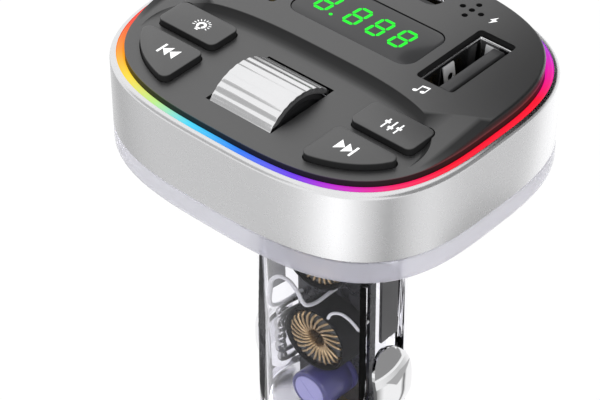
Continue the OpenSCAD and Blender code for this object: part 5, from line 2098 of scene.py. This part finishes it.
@dataclass
class Nose:
    """The metal nose ring and the sprung centre pin.

    Attributes:
        foot: Height of the ring's lower face.
        top: Height of the clear tube's foot.
        outer: Radius of the ring.
        nose: Radius of its lower end.
        hole: Radius of the pin's hole.
        room: Radius of the spring's room.
        room_foot: Height of that room's floor.
        inside: Height of the ring's upper floor.
        grip: Depth of its grip rings.
        pin: Radius of the pin.
        tip: Height of the centre of its round tip.
        collar: Radius of the pin's collar.
        spigot: Radius of the spring's seat on the pin.
    """

    foot: float = -53.0
    top: float = -46.0
    outer: float = 10.3
    nose: float = 6.2
    hole: float = 3.06
    room: float = 4.6
    room_foot: float = -51.4
    inside: float = -43.4
    grip: float = 0.12
    pin: float = 3.0
    tip: float = -55.5
    collar: float = 4.3
    spigot: float = 2.5

    def ring(self) -> list[Flat]:
        """The ring's profile, with grip rings on its cone and a groove above them."""
        foot, top, shoulder, groove = self.foot, self.top, self.top - 2.0, self.outer - 0.18
        points = [(self.hole, foot), (5.8, foot), (6.05, foot + 0.1), (self.nose, foot + 0.4)]
        steps = 12
        for i in range(1, steps):
            r = self.nose + (self.outer - 0.05 - self.nose) * i / steps
            z = foot + 0.4 + (shoulder - foot - 0.4) * i / steps
            points.append((r - (0.0 if i % 2 else self.grip), z))
        points += [(self.outer, shoulder), (self.outer, top - 1.6), (groove, top - 1.45),
                   (groove, top - 1.15), (self.outer, top - 1.0), (self.outer, top - 0.1),
                   (self.outer - 0.1, top), (8.8, top)]
        return points + [(8.8, self.inside), (self.room, self.inside), (self.room, self.room_foot),
                         (self.hole, self.room_foot)]

    def plunger(self) -> list[Flat]:
        """The pin's profile, with its round tip, collar and spigot."""
        steps, collar, spigot = 10, self.collar, self.spigot
        turns = (math.pi / 2 * i / steps for i in range(steps + 1))
        tip = [(self.pin * math.sin(t), self.tip - self.pin * math.cos(t)) for t in turns]
        return tip + [(self.pin, -51.3), (collar - 0.15, -51.3), (collar, -51.15), (collar, -50.25),
                      (collar - 0.15, -50.1), (spigot, -50.1), (spigot, -47.5), (spigot - 0.2, -47.3),
                      (0.0, -47.3)]

    def build(self) -> None:
        """Makes the ring with its grip rings, and the pin."""
        ring = Form().spun(self.ring(), 96, close=True)
        ring.piece("turned_nose", Body.ROOT, NOSE, ["nose_ring"], sharp=30.0)
        Form().spun(self.plunger(), 64).piece("sprung_pin", Body.NOSE_PIN, CHROME, ["centre_pin"], sharp=40.0)


# Pieces kept from the frame


@dataclass
class KeptNodes:
    """CAD nodes whose shape is right, with their finishes.

    Attributes:
        finishes: The finish of each node.
    """

    finishes: dict[str, Finish] = field(default_factory=lambda: {
        "display_module": BLACK, "panel_board": BOARD, "main_board": BOARD, "panel_screws": STEEL,
        "main_board_screws": STEEL, "board_spacers": BRASS, "board_header": BLACK, "ring_leds": LED,
        "microphone": STEEL, "tactile_switches": BLACK, "radio_module": STEEL, "plunger_light": BRASS,
        "plunger_eq": BRASS, "plunger_prev": BRASS, "plunger_next": BRASS, "roller_axle": STEEL,
        "roller_bracket": STEEL, "rotary_encoder": BLACK, "stem_board": DARK_BOARD, "stem_chips": BLACK,
        "centre_spring": STEEL, "spring_seat": BRASS})

    def build(self) -> None:
        """Puts each finish on its node."""
        for name, finish in self.finishes.items():
            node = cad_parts[name]
            node.data.materials.clear()
            node.data.materials.append(finish.material())
            log.info("%s: kept, %s", name, finish.name)


def main() -> None:
    """Builds the whole transmitter."""
    logging.basicConfig(level=logging.INFO, format="%(message)s")
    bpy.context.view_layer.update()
    Viewpoint().build()
    Studio().build()
    outline = HeadOutline()
    shape = KeyShape(outline)
    display, ports, roller = Display(), Ports(), Roller()
    deck = Deck(outline, shape, display, ports, roller)
    assemblies = [Housing(outline), BandAndRing(outline), deck, Keys(shape), display, DeckSigns(), roller,
                  ports, Drums(), PlugParts(), SideContacts(), Nose(), KeptNodes()]
    for assembly in assemblies:
        log.info("building %s", type(assembly).__name__)
        assembly.build()
    bpy.context.view_layer.update()


if __name__ == "__main__":
    main()
